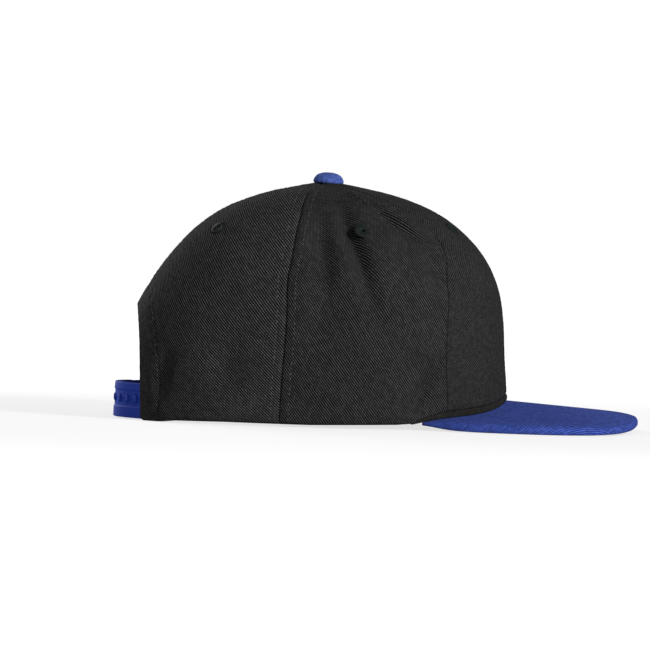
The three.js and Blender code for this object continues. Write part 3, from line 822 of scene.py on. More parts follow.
def shared_group(name: str, inputs: Sequence[tuple[str, str]], outputs: Sequence[str],
                 wire: Callable[[Board, dict], dict]) -> bpy.types.NodeTree:
    """A shader node group that is built once.

    Args:
        name: Name of the group.
        inputs: Name and socket type of each input.
        outputs: Name of each output, which is a number.
        wire: Builds the inside, from the inputs to a dict of the outputs.

    Returns:
        The group.
    """
    if name in bpy.data.node_groups:
        return bpy.data.node_groups[name]
    tree = bpy.data.node_groups.new(name, "ShaderNodeTree")
    for label, kind in inputs:
        tree.interface.new_socket(label, in_out="INPUT", socket_type=kind)
    for label in outputs:
        tree.interface.new_socket(label, in_out="OUTPUT", socket_type="NodeSocketFloat")
    board = Board(tree)
    start = board.add("NodeGroupInput")
    end = board.add("NodeGroupOutput")
    for label, socket in wire(board, {label: start.outputs[label] for label, _ in inputs}).items():
        board.feed(end.inputs[label], socket)
    return tree


VECTOR, NUMBER = "NodeSocketVector", "NodeSocketFloat"


def twill_weave() -> bpy.types.NodeTree:
    """Slanting ribs of short yarn floats: their height, and a shade that differs by yarn.

    Returns:
        The group.
    """
    def wire(board: Board, given: dict) -> dict:
        """Wires the ribs.

        Args:
            board: The group's node tree.
            given: The group's inputs by name.

        Returns:
            The group's outputs by name.
        """
        turned = board.add("ShaderNodeVectorRotate", {
            "Vector": given["Vector"], "Angle": given["Turn"]}, rotation_type="Z_AXIS")
        parts = board.add("ShaderNodeSeparateXYZ", {"Vector": turned.outputs[0]})
        drift = board.add("ShaderNodeTexNoise", {
            "Vector": given["Vector"], "Scale": 70.0, "Detail": 2.0})
        wander = board.math("MULTIPLY", board.math("SUBTRACT", drift.outputs[0], 0.5),
                            given["Wander"])
        across = board.math("ADD", board.math("DIVIDE", parts.outputs[1], given["Pitch"]), wander)
        rib = board.math("FLOOR", across)
        ridge = board.math("SINE", board.math(
            "MULTIPLY", board.math("SUBTRACT", across, rib), math.pi))
        along = board.math("ADD", board.math("DIVIDE", parts.outputs[0], given["Float Length"]),
                           board.math("MULTIPLY", rib, 0.382))
        bead = board.math("FLOOR", along)
        swell = board.math("POWER", board.math("SINE", board.math(
            "MULTIPLY", board.math("SUBTRACT", along, bead), math.pi)), 0.6)
        cell = board.add("ShaderNodeCombineXYZ", {"X": rib, "Y": bead})
        chance = board.add("ShaderNodeTexWhiteNoise", {"Vector": cell.outputs[0]})
        shade = board.varied(chance.outputs[0], given["Variation"])
        height = board.math("MULTIPLY", ridge, board.math("ADD", 0.84, board.math(
            "MULTIPLY", swell, 0.16)))
        return {"Height": height, "Shade": shade}

    return shared_group(
        "twill_weave",
        [("Vector", VECTOR), ("Turn", NUMBER), ("Pitch", NUMBER), ("Float Length", NUMBER),
         ("Wander", NUMBER), ("Variation", NUMBER)],
        ["Height", "Shade"], wire)


def cloth_grain() -> bpy.types.NodeTree:
    """Fine fibres: their height, and a shade about 1.

    Returns:
        The group.
    """
    def wire(board: Board, given: dict) -> dict:
        """Wires the noise.

        Args:
            board: The group's node tree.
            given: The group's inputs by name.

        Returns:
            The group's outputs by name.
        """
        fine = board.add("ShaderNodeTexNoise", {
            "Vector": given["Vector"], "Scale": board.math("DIVIDE", 1.0, given["Size"]),
            "Detail": 5.0, "Roughness": 0.7})
        shade = board.varied(fine.outputs[0], given["Strength"])
        return {"Height": fine.outputs[0], "Shade": shade}

    return shared_group(
        "cloth_grain", [("Vector", VECTOR), ("Size", NUMBER), ("Strength", NUMBER)],
        ["Height", "Shade"], wire)


def soft_wear() -> bpy.types.NodeTree:
    """Uneven fading in broad patches as a shade about 1, and specks of lint as a mask.

    Returns:
        The group.
    """
    def wire(board: Board, given: dict) -> dict:
        """Wires the patches and the specks.

        Args:
            board: The group's node tree.
            given: The group's inputs by name.

        Returns:
            The group's outputs by name.
        """
        broad = board.add("ShaderNodeTexNoise", {
            "Vector": given["Vector"], "Scale": board.math("DIVIDE", 1.0, given["Size"]),
            "Detail": 3.0, "Roughness": 0.55})
        shade = board.varied(broad.outputs[0], given["Strength"])
        specks = board.add("ShaderNodeTexVoronoi", {"Vector": given["Vector"], "Scale": 260.0})
        chance = board.add("ShaderNodeSeparateColor", {"Color": specks.outputs["Color"]})
        near = board.ranged(specks.outputs["Distance"], 0.05, 0.16, 1.0, 0.0)
        rare = board.math("GREATER_THAN", chance.outputs[0], 0.965)
        return {"Shade": shade, "Lint": board.math("MULTIPLY", near, rare)}

    return shared_group(
        "soft_wear", [("Vector", VECTOR), ("Size", NUMBER), ("Strength", NUMBER)],
        ["Shade", "Lint"], wire)


@dataclass(frozen=True)
class Finish:
    """A finish that is made into a material once."""

    name: str

    def wire(self, board: Board, shader: bpy.types.Node) -> None:
        """Wires the finish; each kind has its own way."""
        raise NotImplementedError(self.name)

    def material(self) -> bpy.types.Material:
        """The finish as a material.

        Returns:
            The material, which is built at the first call.
        """
        if self.name in bpy.data.materials:
            return bpy.data.materials[self.name]
        material = bpy.data.materials.new(self.name)
        material.use_nodes = True
        self.wire(Board(material.node_tree), material.node_tree.nodes["Principled BSDF"])
        return material


@dataclass(frozen=True)
class TwillFinish(Finish):
    """Twill cloth. Lengths are in millimetres and the slope is in degrees from level."""

    ridge: Colour
    # ridge is the cloth's own colour; groove is painted shade, far darker than the cloth, standing
    # in for the shade between the ribs
    groove_shade: Colour
    slope: float = 60
    pitch: float = 1.0
    yarn: float = 2.2
    wander: float = 0.6
    variation: float = 0.5
    crispness: float = 2.9
    relief: float = 0.32
    grain: float = 0.5
    grain_size: float = 0.5
    fading: float = 0.5
    patch_size: float = 28
    lint: float = 0.12
    roughness: float = 0.9
    shine: float = 0.03
    sheen: float = 0.01

    def wire(self, board: Board, shader: bpy.types.Node) -> None:
        """Wires the ribs, the fibres and the wear.

        Args:
            board: The material's node tree.
            shader: Its Principled shader.
        """
        flat = board.add("ShaderNodeUVMap", uv_map=CLOTH_MAP).outputs[0]
        place = board.add("ShaderNodeTexCoord").outputs["Object"]
        weave = board.add("ShaderNodeGroup", {
            "Vector": flat, "Turn": -math.radians(self.slope), "Pitch": self.pitch * MM,
            "Float Length": self.yarn * MM, "Wander": self.wander,
            "Variation": self.variation}, node_tree=twill_weave()).outputs
        grain = board.add("ShaderNodeGroup", {
            "Vector": place, "Size": self.grain_size * MM,
            "Strength": self.grain}, node_tree=cloth_grain()).outputs
        wear = board.add("ShaderNodeGroup", {
            "Vector": place, "Size": self.patch_size * MM,
            "Strength": self.fading}, node_tree=soft_wear()).outputs
        shade = board.math("MULTIPLY", weave["Shade"],
                           board.math("MULTIPLY", grain["Shade"], wear["Shade"]))
        # crests take the ridge colour and the grooves the painted shade colour; crispness narrows
        # the bright crests
        crest = board.math("POWER", weave["Height"], self.crispness)
        cloth = board.scaled(board.mix(crest, (*self.groove_shade, 1), (*self.ridge, 1)), shade)
        pale = tuple(min(1.0, 2.2 * part + 0.02) for part in self.ridge)
        board.feed(shader.inputs["Base Color"], board.mix(
            board.math("MULTIPLY", wear["Lint"], self.lint), cloth, (*pale, 1)))
        board.feed(shader.inputs["Roughness"], board.ranged(
            weave["Height"], 0.0, 1.0, min(1.0, self.roughness + 0.06), self.roughness))
        relief = board.math("ADD", weave["Height"], board.math("MULTIPLY", grain["Height"], 0.5))
        bump = board.add("ShaderNodeBump", {
            "Strength": 1.0, "Distance": self.relief * MM, "Height": relief})
        board.feed(shader.inputs["Normal"], bump.outputs[0])
        shader.inputs["Specular IOR Level"].default_value = self.shine
        shader.inputs["Sheen Weight"].default_value = self.sheen
        shader.inputs["Sheen Roughness"].default_value = 0.5


@dataclass(frozen=True)
class ThreadFinish(Finish):
    """Twisted sewing thread. Lengths are in millimetres."""

    colour: Colour
    roughness: float = 0.62
    shine: float = 0.1
    streak: float = 0.7
    strand: float = 0.3
    relief: float = 0.08

    def wire(self, board: Board, shader: bpy.types.Node) -> None:
        """Wires the strands.

        Args:
            board: The material's node tree.
            shader: Its Principled shader.
        """
        place = board.add("ShaderNodeTexCoord").outputs["Object"]
        grain = board.add("ShaderNodeGroup", {
            "Vector": place, "Size": self.strand * MM,
            "Strength": self.streak}, node_tree=cloth_grain()).outputs
        board.feed(shader.inputs["Base Color"], board.scaled(self.colour, grain["Shade"]))
        bump = board.add("ShaderNodeBump", {
            "Strength": 0.6, "Distance": self.relief * MM, "Height": grain["Height"]})
        board.feed(shader.inputs["Normal"], bump.outputs[0])
        shader.inputs["Roughness"].default_value = self.roughness
        shader.inputs["Specular IOR Level"].default_value = self.shine


@dataclass(frozen=True)
class PlasticFinish(Finish):
    """Moulded satin plastic. Lengths are in millimetres."""

    colour: Colour
    roughness: float = 0.62
    shine: float = 0.02
    grain: float = 0.18
    grain_size: float = 0.9
    fading: float = 0.35
    patch_size: float = 12
    relief: float = 0.04

    def wire(self, board: Board, shader: bpy.types.Node) -> None:
        """Wires the moulded grain and the wear.

        Args:
            board: The material's node tree.
            shader: Its Principled shader.
        """
        place = board.add("ShaderNodeTexCoord").outputs["Object"]
        grain = board.add("ShaderNodeGroup", {
            "Vector": place, "Size": self.grain_size * MM,
            "Strength": self.grain}, node_tree=cloth_grain()).outputs
        wear = board.add("ShaderNodeGroup", {
            "Vector": place, "Size": self.patch_size * MM,
            "Strength": self.fading}, node_tree=soft_wear()).outputs
        board.feed(shader.inputs["Base Color"], board.scaled(
            self.colour, board.math("MULTIPLY", grain["Shade"], wear["Shade"])))
        board.feed(shader.inputs["Roughness"],
                   board.math("MULTIPLY", wear["Shade"], self.roughness))
        bump = board.add("ShaderNodeBump", {
            "Strength": 0.5, "Distance": self.relief * MM, "Height": grain["Height"]})
        board.feed(shader.inputs["Normal"], bump.outputs[0])
        shader.inputs["Specular IOR Level"].default_value = self.shine


class Finishes:
    """The cap's finishes."""

    # All six crown panels are one black twill. Their ridge and groove colours differ from panel to
    # panel as painted light: the back panels are painted brighter and the front panels' paler
    # grooves are painted sheen; the front's softer ribs are also its smoother finish.
    side_cloth = TwillFinish("crown_twill_side", (0.067, 0.067, 0.0665), (0.0004, 0.0004, 0.0004),
                             slope=127, pitch=1.12, yarn=2.2)
    back_cloth = TwillFinish("crown_twill_back", (0.087, 0.087, 0.0865), (0.0004, 0.0004, 0.0004),
                             slope=138, pitch=1.1, yarn=2.4)
    front_cloth = TwillFinish("crown_twill_front", (0.040, 0.040, 0.0395), (0.008, 0.008, 0.008),
                              slope=43, pitch=1.12, yarn=1.6, crispness=1.7, relief=0.1, fading=0.35)
    roll_cloth = TwillFinish("roll_twill", (0.038, 0.037, 0.033), (0.006, 0.006, 0.0055),
                             slope=50, pitch=0.9, yarn=1.6)
    band_cloth = TwillFinish("sweatband_twill", (0.035, 0.035, 0.036), (0.010, 0.010, 0.010),
                             slope=45, pitch=0.8, yarn=1.4, relief=0.08)
    tape_cloth = TwillFinish("seam_tape_twill", (0.040, 0.040, 0.041), (0.012, 0.012, 0.012),
                             slope=90, pitch=0.7, yarn=1.2, relief=0.06)
    peak_cloth = TwillFinish("peak_twill", (0.066, 0.110, 0.45), (0.013, 0.028, 0.16),
                             slope=35, pitch=1.25, yarn=2.0, crispness=1.4, relief=0.2,
                             fading=0.2, grain=0.3, lint=0.03)
    # The button is covered in the peak's blue twill; its paler colours are painted light from above,
    # where its dome faces up.
    button_cloth = TwillFinish("button_twill", (0.104, 0.160, 0.50), (0.038, 0.066, 0.26),
                               slope=35, pitch=1.0, yarn=1.8, crispness=1.7, relief=0.12,
                               fading=0.3, lint=0.03)
    eyelet_thread = ThreadFinish("eyelet_thread", (0.011, 0.016, 0.014))
    dark_thread = ThreadFinish("dark_thread", (0.035, 0.035, 0.034))
    seam_thread = ThreadFinish("seam_thread", (0.11, 0.11, 0.106))
    strap_plastic = PlasticFinish("strap_plastic", (0.027, 0.066, 0.46))


@dataclass
class CrownPanel:
    """One of the six panels, in millimetres."""

    form: CrownForm
    cap: CapFrame
    kind: PanelKind
    side: Side
    wall: float = 1.6
    gap: float = 0.02
    seam_dip: float = 1.0
    front_seam_dip: float = 0.55
    seam_round: float = 2.4
    hem_dip: float = 0.4
    rim_round: float = 3.0
    rim_dip: float = 1.7
    edge_columns: int = 5
    columns: int = 76
    rows: int = 112
    arch_share: float = 0.5
    shoulder_level: float = 0.66
    pucker: float = 0.2
    pucker_place: float = 3.6
    pucker_reach: float = 5.5
    pucker_wave: float = 7.5
    stiff_share: float = 0.35
    rolled_share: float = 0.3
    rim_density: float = 1.12
    hole_radius: float = 2.2

    @property
    def name(self) -> str:
        """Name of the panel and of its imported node."""
        return f"crown_{self.kind.value}_{self.side.name.lower()}"

    @property
    def seams(self) -> tuple[str, str]:
        """The seams at the panel's front and back."""
        return {
            PanelKind.FRONT: ("middle_front", "front_seam"),
            PanelKind.SIDE: ("front_seam", "back_seam"),
            PanelKind.BACK: ("back_seam", "middle_back"),
        }[self.kind]

    @property
    def middle(self) -> float:
        """Angle of the panel's middle line, on the wearer's left."""
        return {PanelKind.FRONT: 22.0, PanelKind.SIDE: 71.0, PanelKind.BACK: 128.0}[self.kind]

    def edges(self, climb: Array) -> tuple[Array, Array, Array, Array]:
        """The panel's front and back edge at shares of the way up.

        Args:
            climb: Shares from the rim (0) to the hole at the top (1).

        Returns:
            Row and angle of the front edge, and row and angle of the back edge.
        """
        form, top = self.form, self.form.edge_row
        near, far = self.seams
        if self.kind is not PanelKind.BACK:
            row = even_rows(form, self.middle, 0, top, climb)
            return row, form.seam(near, row), row, form.seam(far, row)
        shoulder = float(form.row_at(self.shoulder_level * form.height))
        low = np.clip(climb / self.arch_share, 0, 1)
        high = np.clip((climb - self.arch_share) / (1 - self.arch_share), 0, 1)
        near_row = np.where(
            climb < self.arch_share,
            even_rows(form, 100, 0, shoulder, low),
            even_rows(form, 100, shoulder, top, high))
        turns = np.linspace(0, math.pi / 2, 400)
        lengths = distances(np.stack(form.arch_line(turns, form.hem_width + self.gap), axis=-1))
        turn = np.interp(low * lengths[-1], lengths, turns)
        half_width, height = form.arch_line(turn, form.hem_width + self.gap)
        hem_row = form.row_at(height)
        hem_angle = form.back_angle(half_width, hem_row)
        crest = float(form.row_at(form.arch_height + form.hem_width + self.gap))
        on_hem = climb < self.arch_share
        far_row = np.where(on_hem, hem_row, even_rows(form, 178, crest, top, high))
        return near_row, form.seam(near, near_row), far_row, np.where(on_hem, hem_angle, 180.0)

    def across(self, u: Array, width: Array) -> Array:
        """Shares across the panel, with narrow columns along its edges.

        Args:
            u: Even shares across.
            width: Width of the panel.

        Returns:
            The shares at which the columns lie.
        """
        total = self.columns + 2 * self.edge_columns
        edge = np.minimum(0.2, 1.15 * self.seam_round / width)
        step = u * total
        inner = lerp(edge, 1 - edge, np.clip((step - self.edge_columns) / self.columns, 0, 1))
        near = edge * np.clip(step / self.edge_columns, 0, 1)
        far = 1 - edge * np.clip((total - step) / self.edge_columns, 0, 1)
        return np.where(step < self.edge_columns, near,
                        np.where(step > total - self.edge_columns, far, inner))

    def patch(self) -> Patch:
        """The panel's outer face.

        Returns:
            The patch.
        """
        form, sign = self.form, self.side.value
        u, v = np.meshgrid(
            np.linspace(0, 1, self.columns + 2 * self.edge_columns + 1),
            np.linspace(0, 1, self.rows + 1))
        climb = v ** self.rim_density
        near_row, near_angle, far_row, far_angle = self.edges(climb)
        half_gap = self.gap / 2
        start = near_angle + half_gap / form.degree_length(near_angle, near_row)
        end = far_angle - half_gap / form.degree_length(far_angle, far_row)
        corner_a = form.base(start, near_row)
        corner_b = form.base(end, far_row)
        width = np.linalg.norm(corner_a - corner_b, axis=-1)
        share = self.across(u if sign > 0 else 1 - u, width)
        angle = lerp(start, end, share) * sign
        row = lerp(near_row, far_row, share)
        foot = form.row_at(self.foot(angle))
        place = lerp(foot, form.edge_row, row / form.edge_row)
        rise = form.height * (form.column("height", place) - form.column("height", foot))
        return self.finished_patch(angle, place, share, width, rise)

    def finished_patch(self, angle: Array, place: Array, share: Array, width: Array,
                       rise: Array) -> Patch:
        """Adds the turned-in edges and the puckers of the sewing.

        Args:
            angle: Angles of the points.
            place: Rows of the points.
            share: Shares across, from the front edge.
            width: Width of the panel there.
            rise: Height above the panel's foot.

        Returns:
            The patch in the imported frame.
        """
        form = self.form
        near, far = share * width, (1 - share) * width
        at_hem = (self.kind is PanelKind.BACK) & (place < form.row_at(form.arch_height + 12))
        near_dip, far_dip = (self.front_seam_dip if name == "front_seam" else self.seam_dip
                             for name in self.seams)
        far_dip = np.where(at_hem, self.hem_dip, far_dip)
        drop = rounded_drop(near, self.seam_round, near_dip)
        drop = drop + rounded_drop(far, self.seam_round, 1.0) * far_dip
        rolled = form.roll_at(angle) > 0.2
        drop = drop + rounded_drop(rise, self.rim_round, self.rim_dip) * np.where(
            rolled, self.rolled_share, 1)
        flat = form.flat(angle, place, self.middle * self.side.value)
        climb = flat[..., 1]
        seed = 3 + 7 * list(PanelKind).index(self.kind) + (1 if self.side is Side.LEFT else 0)
        stiff = self.stiff_share if self.kind is PanelKind.FRONT else 1.0
        for distance, shift in ((near, 0), (far, 40)):
            reach = np.exp(-((distance - self.pucker_place) / self.pucker_reach) ** 2)
            wave = ripple(climb, self.pucker_wave, seed + shift)
            drop = drop + self.pucker * stiff * reach * wave
        return Patch(self.cap(form.point(angle, place, -drop)), flat * MM)

    def foot(self, angle: Array) -> Array:
        """Height of the panel's lower edge, above the roll."""
        roll = self.form.roll_at(angle)
        return self.form.rim_height(angle) + roll + np.minimum(self.gap, roll)

    def eyelet_place(self) -> tuple[Array, Array]:
        """Where the eyelet sits, and the direction out of the cloth there.

        Returns:
            The place and the direction.
        """
        form = self.form
        level, across = {PanelKind.FRONT: (0.82, 0.5), PanelKind.SIDE: (0.802, 0.55),
                         PanelKind.BACK: (0.794, 0.5)}[self.kind]
        row = form.row_at(level * form.height)
        near, far = (float(form.seam(name, np.array(row))) for name in self.seams)
        angle = lerp(near, far, across) * self.side.value
        return form.point(np.array(angle), row, 0.0), form.normal(np.array(angle), row)

    def open_eyelet(self, mesh: bmesh.types.BMesh) -> None:
        """Opens the cloth under the eyelet, with a round edge.

        Args:
            mesh: The panel's mesh.
        """
        place, axis = self.eyelet_place()
        centre, out = Vector(self.cap(place)), Vector(axis)
        radius = self.hole_radius * MM
        gone = [vert for vert in mesh.verts if (vert.co - centre).length < radius]
        bmesh.ops.delete(mesh, geom=gone, context="VERTS")
        for vert in mesh.verts:
            offset = vert.co - centre
            if vert.is_boundary and offset.length < 2.5 * radius:
                along = out * offset.dot(out)
                vert.co = centre + along + (offset - along).normalized() * radius

    def build(self, finish: TwillFinish) -> bpy.types.Object:
        """The panel as a cloth piece.

        Args:
            finish: Its cloth.

        Returns:
            The new piece.
        """
        patch = self.patch()
        mesh = patch.bmesh()
        self.open_eyelet(mesh)
        piece = finished(mesh, f"{self.name}_cloth", finish.material(), self.name)
        walled(piece, self.wall)
        patch.cut_size()
        patch.area()
        return piece


@dataclass
class Crown:
    """The six panels, their seam stitches and the tapes over the seams inside."""

    form: CrownForm
    cap: CapFrame
    row_distance: float = 4.8
    tape_width: float = 11
    tape_wall: float = 0.5
    tape_foot: float = 30
    front_wall: float = 2.0
    cloth_wall: float = 1.6

    def panels(self) -> list[CrownPanel]:
        """The six panels."""
        return [
            CrownPanel(self.form, self.cap, kind, side,
                       wall=self.front_wall if kind is PanelKind.FRONT else self.cloth_wall,
                       columns=56 if kind is PanelKind.FRONT else 76)
            for side in Side for kind in PanelKind]

    def seam_line(self, name: str, side: int, shift: float, low: float, high: float) -> tuple:
        """A line along a seam, at a distance from it.

        Args:
            name: Name of the seam.
            side: 1 on the left and -1 on the right.
            shift: Distance from the seam, positive away from the front.
            low: Height at which it starts.
            high: Height at which it ends.

        Returns:
            Angles and rows of the line.
        """
        form = self.form
        rows = even_rows(form, 70, float(form.row_at(low)), float(form.row_at(high)),
                         np.linspace(0, 1, 160))
        seam = form.seam(name, rows)
        return (seam + shift / form.degree_length(seam, rows)) * side, rows

    def stitches(self, name: str, seams: Sequence[tuple[str, int, float]],
                 finish: ThreadFinish) -> None:
        """Sews the two rows of stitches beside each seam.

        Args:
            name: Name of the piece.
            seams: Each seam's name, its side (1 or -1) and the height at which the rows start.
            finish: The thread.
        """
        work = StitchWork(name, self.cap)
        form = self.form
        for seam, side, low in seams:
            for shift in (-self.row_distance, self.row_distance):
                angle, rows = self.seam_line(seam, side, shift, low, form.height * 0.98)
                work.row(form.point(angle, rows, 0.0), form.normal(angle, rows))
        work.done(finish.material())

    def tape(self, name: str, seam: str, side: int, low: float,
             finish: TwillFinish) -> bpy.types.Object:
        """A tape over one seam, inside the crown.

        Args:
            name: Name of the piece.
            seam: Name of the seam.
            side: 1 on the left and -1 on the right.
            low: Height at which it starts.
            finish: Its cloth.

        Returns:
            The new piece.
        """
        form = self.form
        wall = self.front_wall if seam == "middle_front" else max(self.front_wall, self.cloth_wall)
        across, depth = strip_section(self.tape_width, self.tape_wall, 0.2, 10, 6, 2)
        shares = np.linspace(0, 1, 90)
        v, index = np.meshgrid(shares, np.arange(len(across)))
        rows = even_rows(form, 70, float(form.row_at(low)), form.edge_row - 0.02, v)
        seam_angle = form.seam(seam, rows)
        narrow = np.minimum(1, 2.2 * (1 - v) + 0.35)
        away = (across[index] - self.tape_width / 2) * narrow
        angle = (seam_angle + away / form.degree_length(seam_angle, rows)) * side
        offset = -(wall + 0.95) + depth[index]
        points = form.point(angle, rows, offset)
        flat = np.stack([np.broadcast_to(outline_length(across, depth)[index], v.shape),
                         v * 150], axis=-1)
        mesh = closed(Patch(self.cap(points), flat * MM).bmesh())
        piece = finished(mesh, name, finish.material())
        travelled = distances(points[0])
        return piece

    def build(self, finishes: type[Finishes]) -> None:
        """Builds and dresses the crown.

        Args:
            finishes: The cap's finishes.
        """
        cloths = {PanelKind.FRONT: finishes.front_cloth, PanelKind.SIDE: finishes.side_cloth,
                  PanelKind.BACK: finishes.back_cloth}
        for panel in self.panels():
            panel.build(cloths[panel.kind])
            Eyelet(panel).build(finishes.eyelet_thread)
        form = self.form
        hem_top = form.arch_height + form.hem_width
        self.stitches("back_seam_stitches", [("back_seam", 1, 2.5), ("back_seam", -1, 2.5)],
                      finishes.seam_thread)
        front_low = form.front_rise * 0.5 + form.roll_height + 2
        self.stitches("front_seam_stitches", [
            ("front_seam", 1, front_low), ("front_seam", -1, front_low),
            ("middle_front", 1, form.front_rise + form.roll_height + 2),
            ("middle_back", 1, hem_top + 2)], finishes.dark_thread)
        for name, seam, side, low, one, other in (
                ("front_left", "front_seam", 1, self.tape_foot + 8, "front_left", "side_left"),
                ("front_right", "front_seam", -1, self.tape_foot + 8, "front_right", "side_right"),
                ("back_left", "back_seam", 1, self.tape_foot + 3, "back_left", "side_left"),
                ("back_right", "back_seam", -1, self.tape_foot + 3, "back_right", "side_right"),
                ("middle_front", "middle_front", 1, self.tape_foot + 16.8, "front_left",
                 "front_right"),
                ("middle_back", "middle_back", 1, hem_top + 2, "back_left", "back_right")):
            self.tape(f"seam_tape_{name}", seam, side, low,
                      finishes.tape_cloth)


@dataclass
class Eyelet:
    """A ring of thread worked through one panel, in millimetres."""

    panel: CrownPanel
    radius: float = 4.7
    bore: float = 0.85
    neck: float = 1.9
    height: float = 0.62
    lift: float = 0.05
    threads: int = 34
    steps: int = 136
    ridge: float = 0.16

    @property
    def node(self) -> str:
        """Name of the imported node."""
        return f"eyelet_{self.panel.kind.value}_{self.panel.side.name.lower()}"

    def profile(self) -> list[tuple[float, float]]:
        """Radius and height of the ring's section, from its outer edge outside to that inside.

        Returns:
            The corners of the section.
        """
        wall = self.panel.wall
        outside = [(self.radius, -0.5), (self.radius, self.lift + 0.2),
                   (self.radius * 0.93, self.lift + self.height * 0.66),
                   (self.radius * 0.78, self.lift + self.height * 0.95),
                   (self.radius * 0.6, self.lift + self.height),
                   (self.radius * 0.44, self.lift + self.height * 0.86),
                   (self.bore + 0.5, self.lift + self.height * 0.55),
                   (self.bore + 0.12, self.lift + 0.1), (self.bore, -wall / 2)]
        inside = [(radius * 0.85 if radius > self.neck else radius, -wall - height)
                  for radius, height in reversed(outside[2:-1])]
        return outside + inside + [(self.radius * 0.85, -wall - 0.1), (self.neck, -wall),
                                   (self.neck, -0.5)]

    def build(self, finish: ThreadFinish) -> bpy.types.Object:
        """The ring, spun round its axis, with the ridges of its threads.

        Args:
            finish: Its thread.

        Returns:
            The new piece.
        """
        mesh = bmesh.new()
        spin(mesh, self.profile(), self.steps, ring=True)
        welded(mesh)
        for vert in mesh.verts:
            turn = math.atan2(vert.co.y, vert.co.x)
            radius = math.hypot(vert.co.x, vert.co.y) / MM
            if radius > self.bore + 0.2:
                wave = abs(math.sin(self.threads * turn / 2)) - 0.6
                share = min(1.0, (radius - self.bore) / 1.5)
                lift = self.ridge * wave * share * MM
                vert.co.z += lift if vert.co.z > -self.panel.wall / 2 * MM else -lift
                if radius > self.radius * 0.9:
                    vert.co.x *= 1 + lift / MM / self.radius
                    vert.co.y *= 1 + lift / MM / self.radius
        place, axis = self.panel.eyelet_place()
        turn = Vector((0, 0, 1)).rotation_difference(Vector(axis)).to_matrix().to_4x4()
        matrix = Matrix.Translation(Vector(self.panel.cap(place))) @ turn
        bmesh.ops.transform(mesh, matrix=matrix, verts=mesh.verts)
        return finished(mesh, f"{self.node}_thread", finish.material(), self.node)


@dataclass
class ArchHem:
    """The hem round the arched opening at the back, in millimetres."""

    form: CrownForm
    cap: CapFrame
    wall: float = 2.3
    rounding: float = 0.35
    steps: int = 230
    face_steps: int = 18
    stitch_inset: float = 1.1
    stitch_depth: float = 0.28
    bare_turns: int = 8
    foot_round: float = 3.0
    pucker: float = 0.25
    pucker_wave: float = 6.5
    sewn_width: float = 1.6
    sewn_depth: float = 0.3

    def line(self, turn: Array, across: Array) -> tuple[Array, Array]:
        """Angle and row of places round the opening.

        Args:
            turn: From 0 at the left foot to pi at the right foot.
            across: Distance from the opening's edge.

        Returns:
            Angles from about 150 on the left to 210 on the right, and rows.
        """
        form = self.form
        on_left = turn <= math.pi / 2
        half_width, height = form.arch_line(np.where(on_left, turn, math.pi - turn), across)
        row = form.row_at(height)
        angle = form.back_angle(half_width, row)
        return np.where(on_left, angle, 360 - angle), row

    def turns(self, count: int) -> tuple[Array, Array]:
        """Turns at even distances round the hem's middle line, and those distances.

        Args:
            count: Number of places.

        Returns:
            The turns and the distances.
        """
        turns = np.linspace(0, math.pi, 1201)
        angle, row = self.line(turns, np.full_like(turns, self.form.hem_width / 2))
        lengths = distances(self.form.base(angle, row))
        even = np.linspace(0, lengths[-1], count)
        return np.interp(even, lengths, turns), even

    def cut_places(self, angle: Array, row: Array) -> Array:
        """Places on the cloth, in line with those of the back panels on each side.

        Args:
            angle: Angles round the crown.
            row: Fractional rows.

        Returns:
            The places, in millimetres.
        """
        left = self.form.flat(angle, row, 128.0)
        right = self.form.flat(angle - 360, row, -128.0)
        return np.where((angle < 180)[..., None], left, right)

    def build(self, finish: TwillFinish, thread: ThreadFinish) -> None:
        """Builds the hem and its stitches.

        Args:
            finish: Its cloth.
            thread: Thread of its stitches.
        """
        form = self.form
        across, depth = strip_section(form.hem_width, self.wall, self.rounding,
                                      self.face_steps, 8)
        turns, lengths = self.turns(self.steps + 1)
        turn, index = np.meshgrid(turns, np.arange(len(across)))
        along = np.broadcast_to(lengths, turn.shape)
        left = np.minimum(along, lengths[-1] - along) / self.foot_round
        inset = self.foot_round * (1 - np.sqrt(1 - (1 - np.clip(left, 0, 1)) ** 2))
        place = across[index] + inset * (1 - across[index] / form.hem_width)
        angle, row = self.line(turn, place)
        sewn = np.exp(
            -((across[index] - (form.hem_width - self.stitch_inset)) / self.sewn_width) ** 2)
        shape = (-self.sewn_depth * sewn * (depth[index] > -self.wall / 2)
                 + self.pucker * ripple(along, self.pucker_wave, 11) * (0.3 + 0.7 * sewn))
        offset = depth[index] + shape
        points = form.point(angle, row, offset)
        points[..., 2] = np.maximum(points[..., 2], 0.0)
        flat = self.cut_places(angle, row) + np.stack(
            [0 * along, np.where(depth[index] < -self.wall / 2, 5.0, 0.0)], axis=-1)
        patch = Patch(self.cap(points), flat * MM)
        piece = finished(closed(patch.bmesh()), "back_arch_hem_cloth", finish.material(),
                         "back_arch_hem")
        on_face = depth > -MM
        face = Patch(patch.points[on_face], patch.flat[on_face])
        work = StitchWork("hem_stitches", self.cap)
        turns = turns[self.bare_turns:-self.bare_turns]
        angle, row = self.line(turns, np.full_like(turns, form.hem_width - self.stitch_inset))
        work.row(form.point(angle, row, -self.stitch_depth), form.normal(angle, row))
        work.done(thread.material())


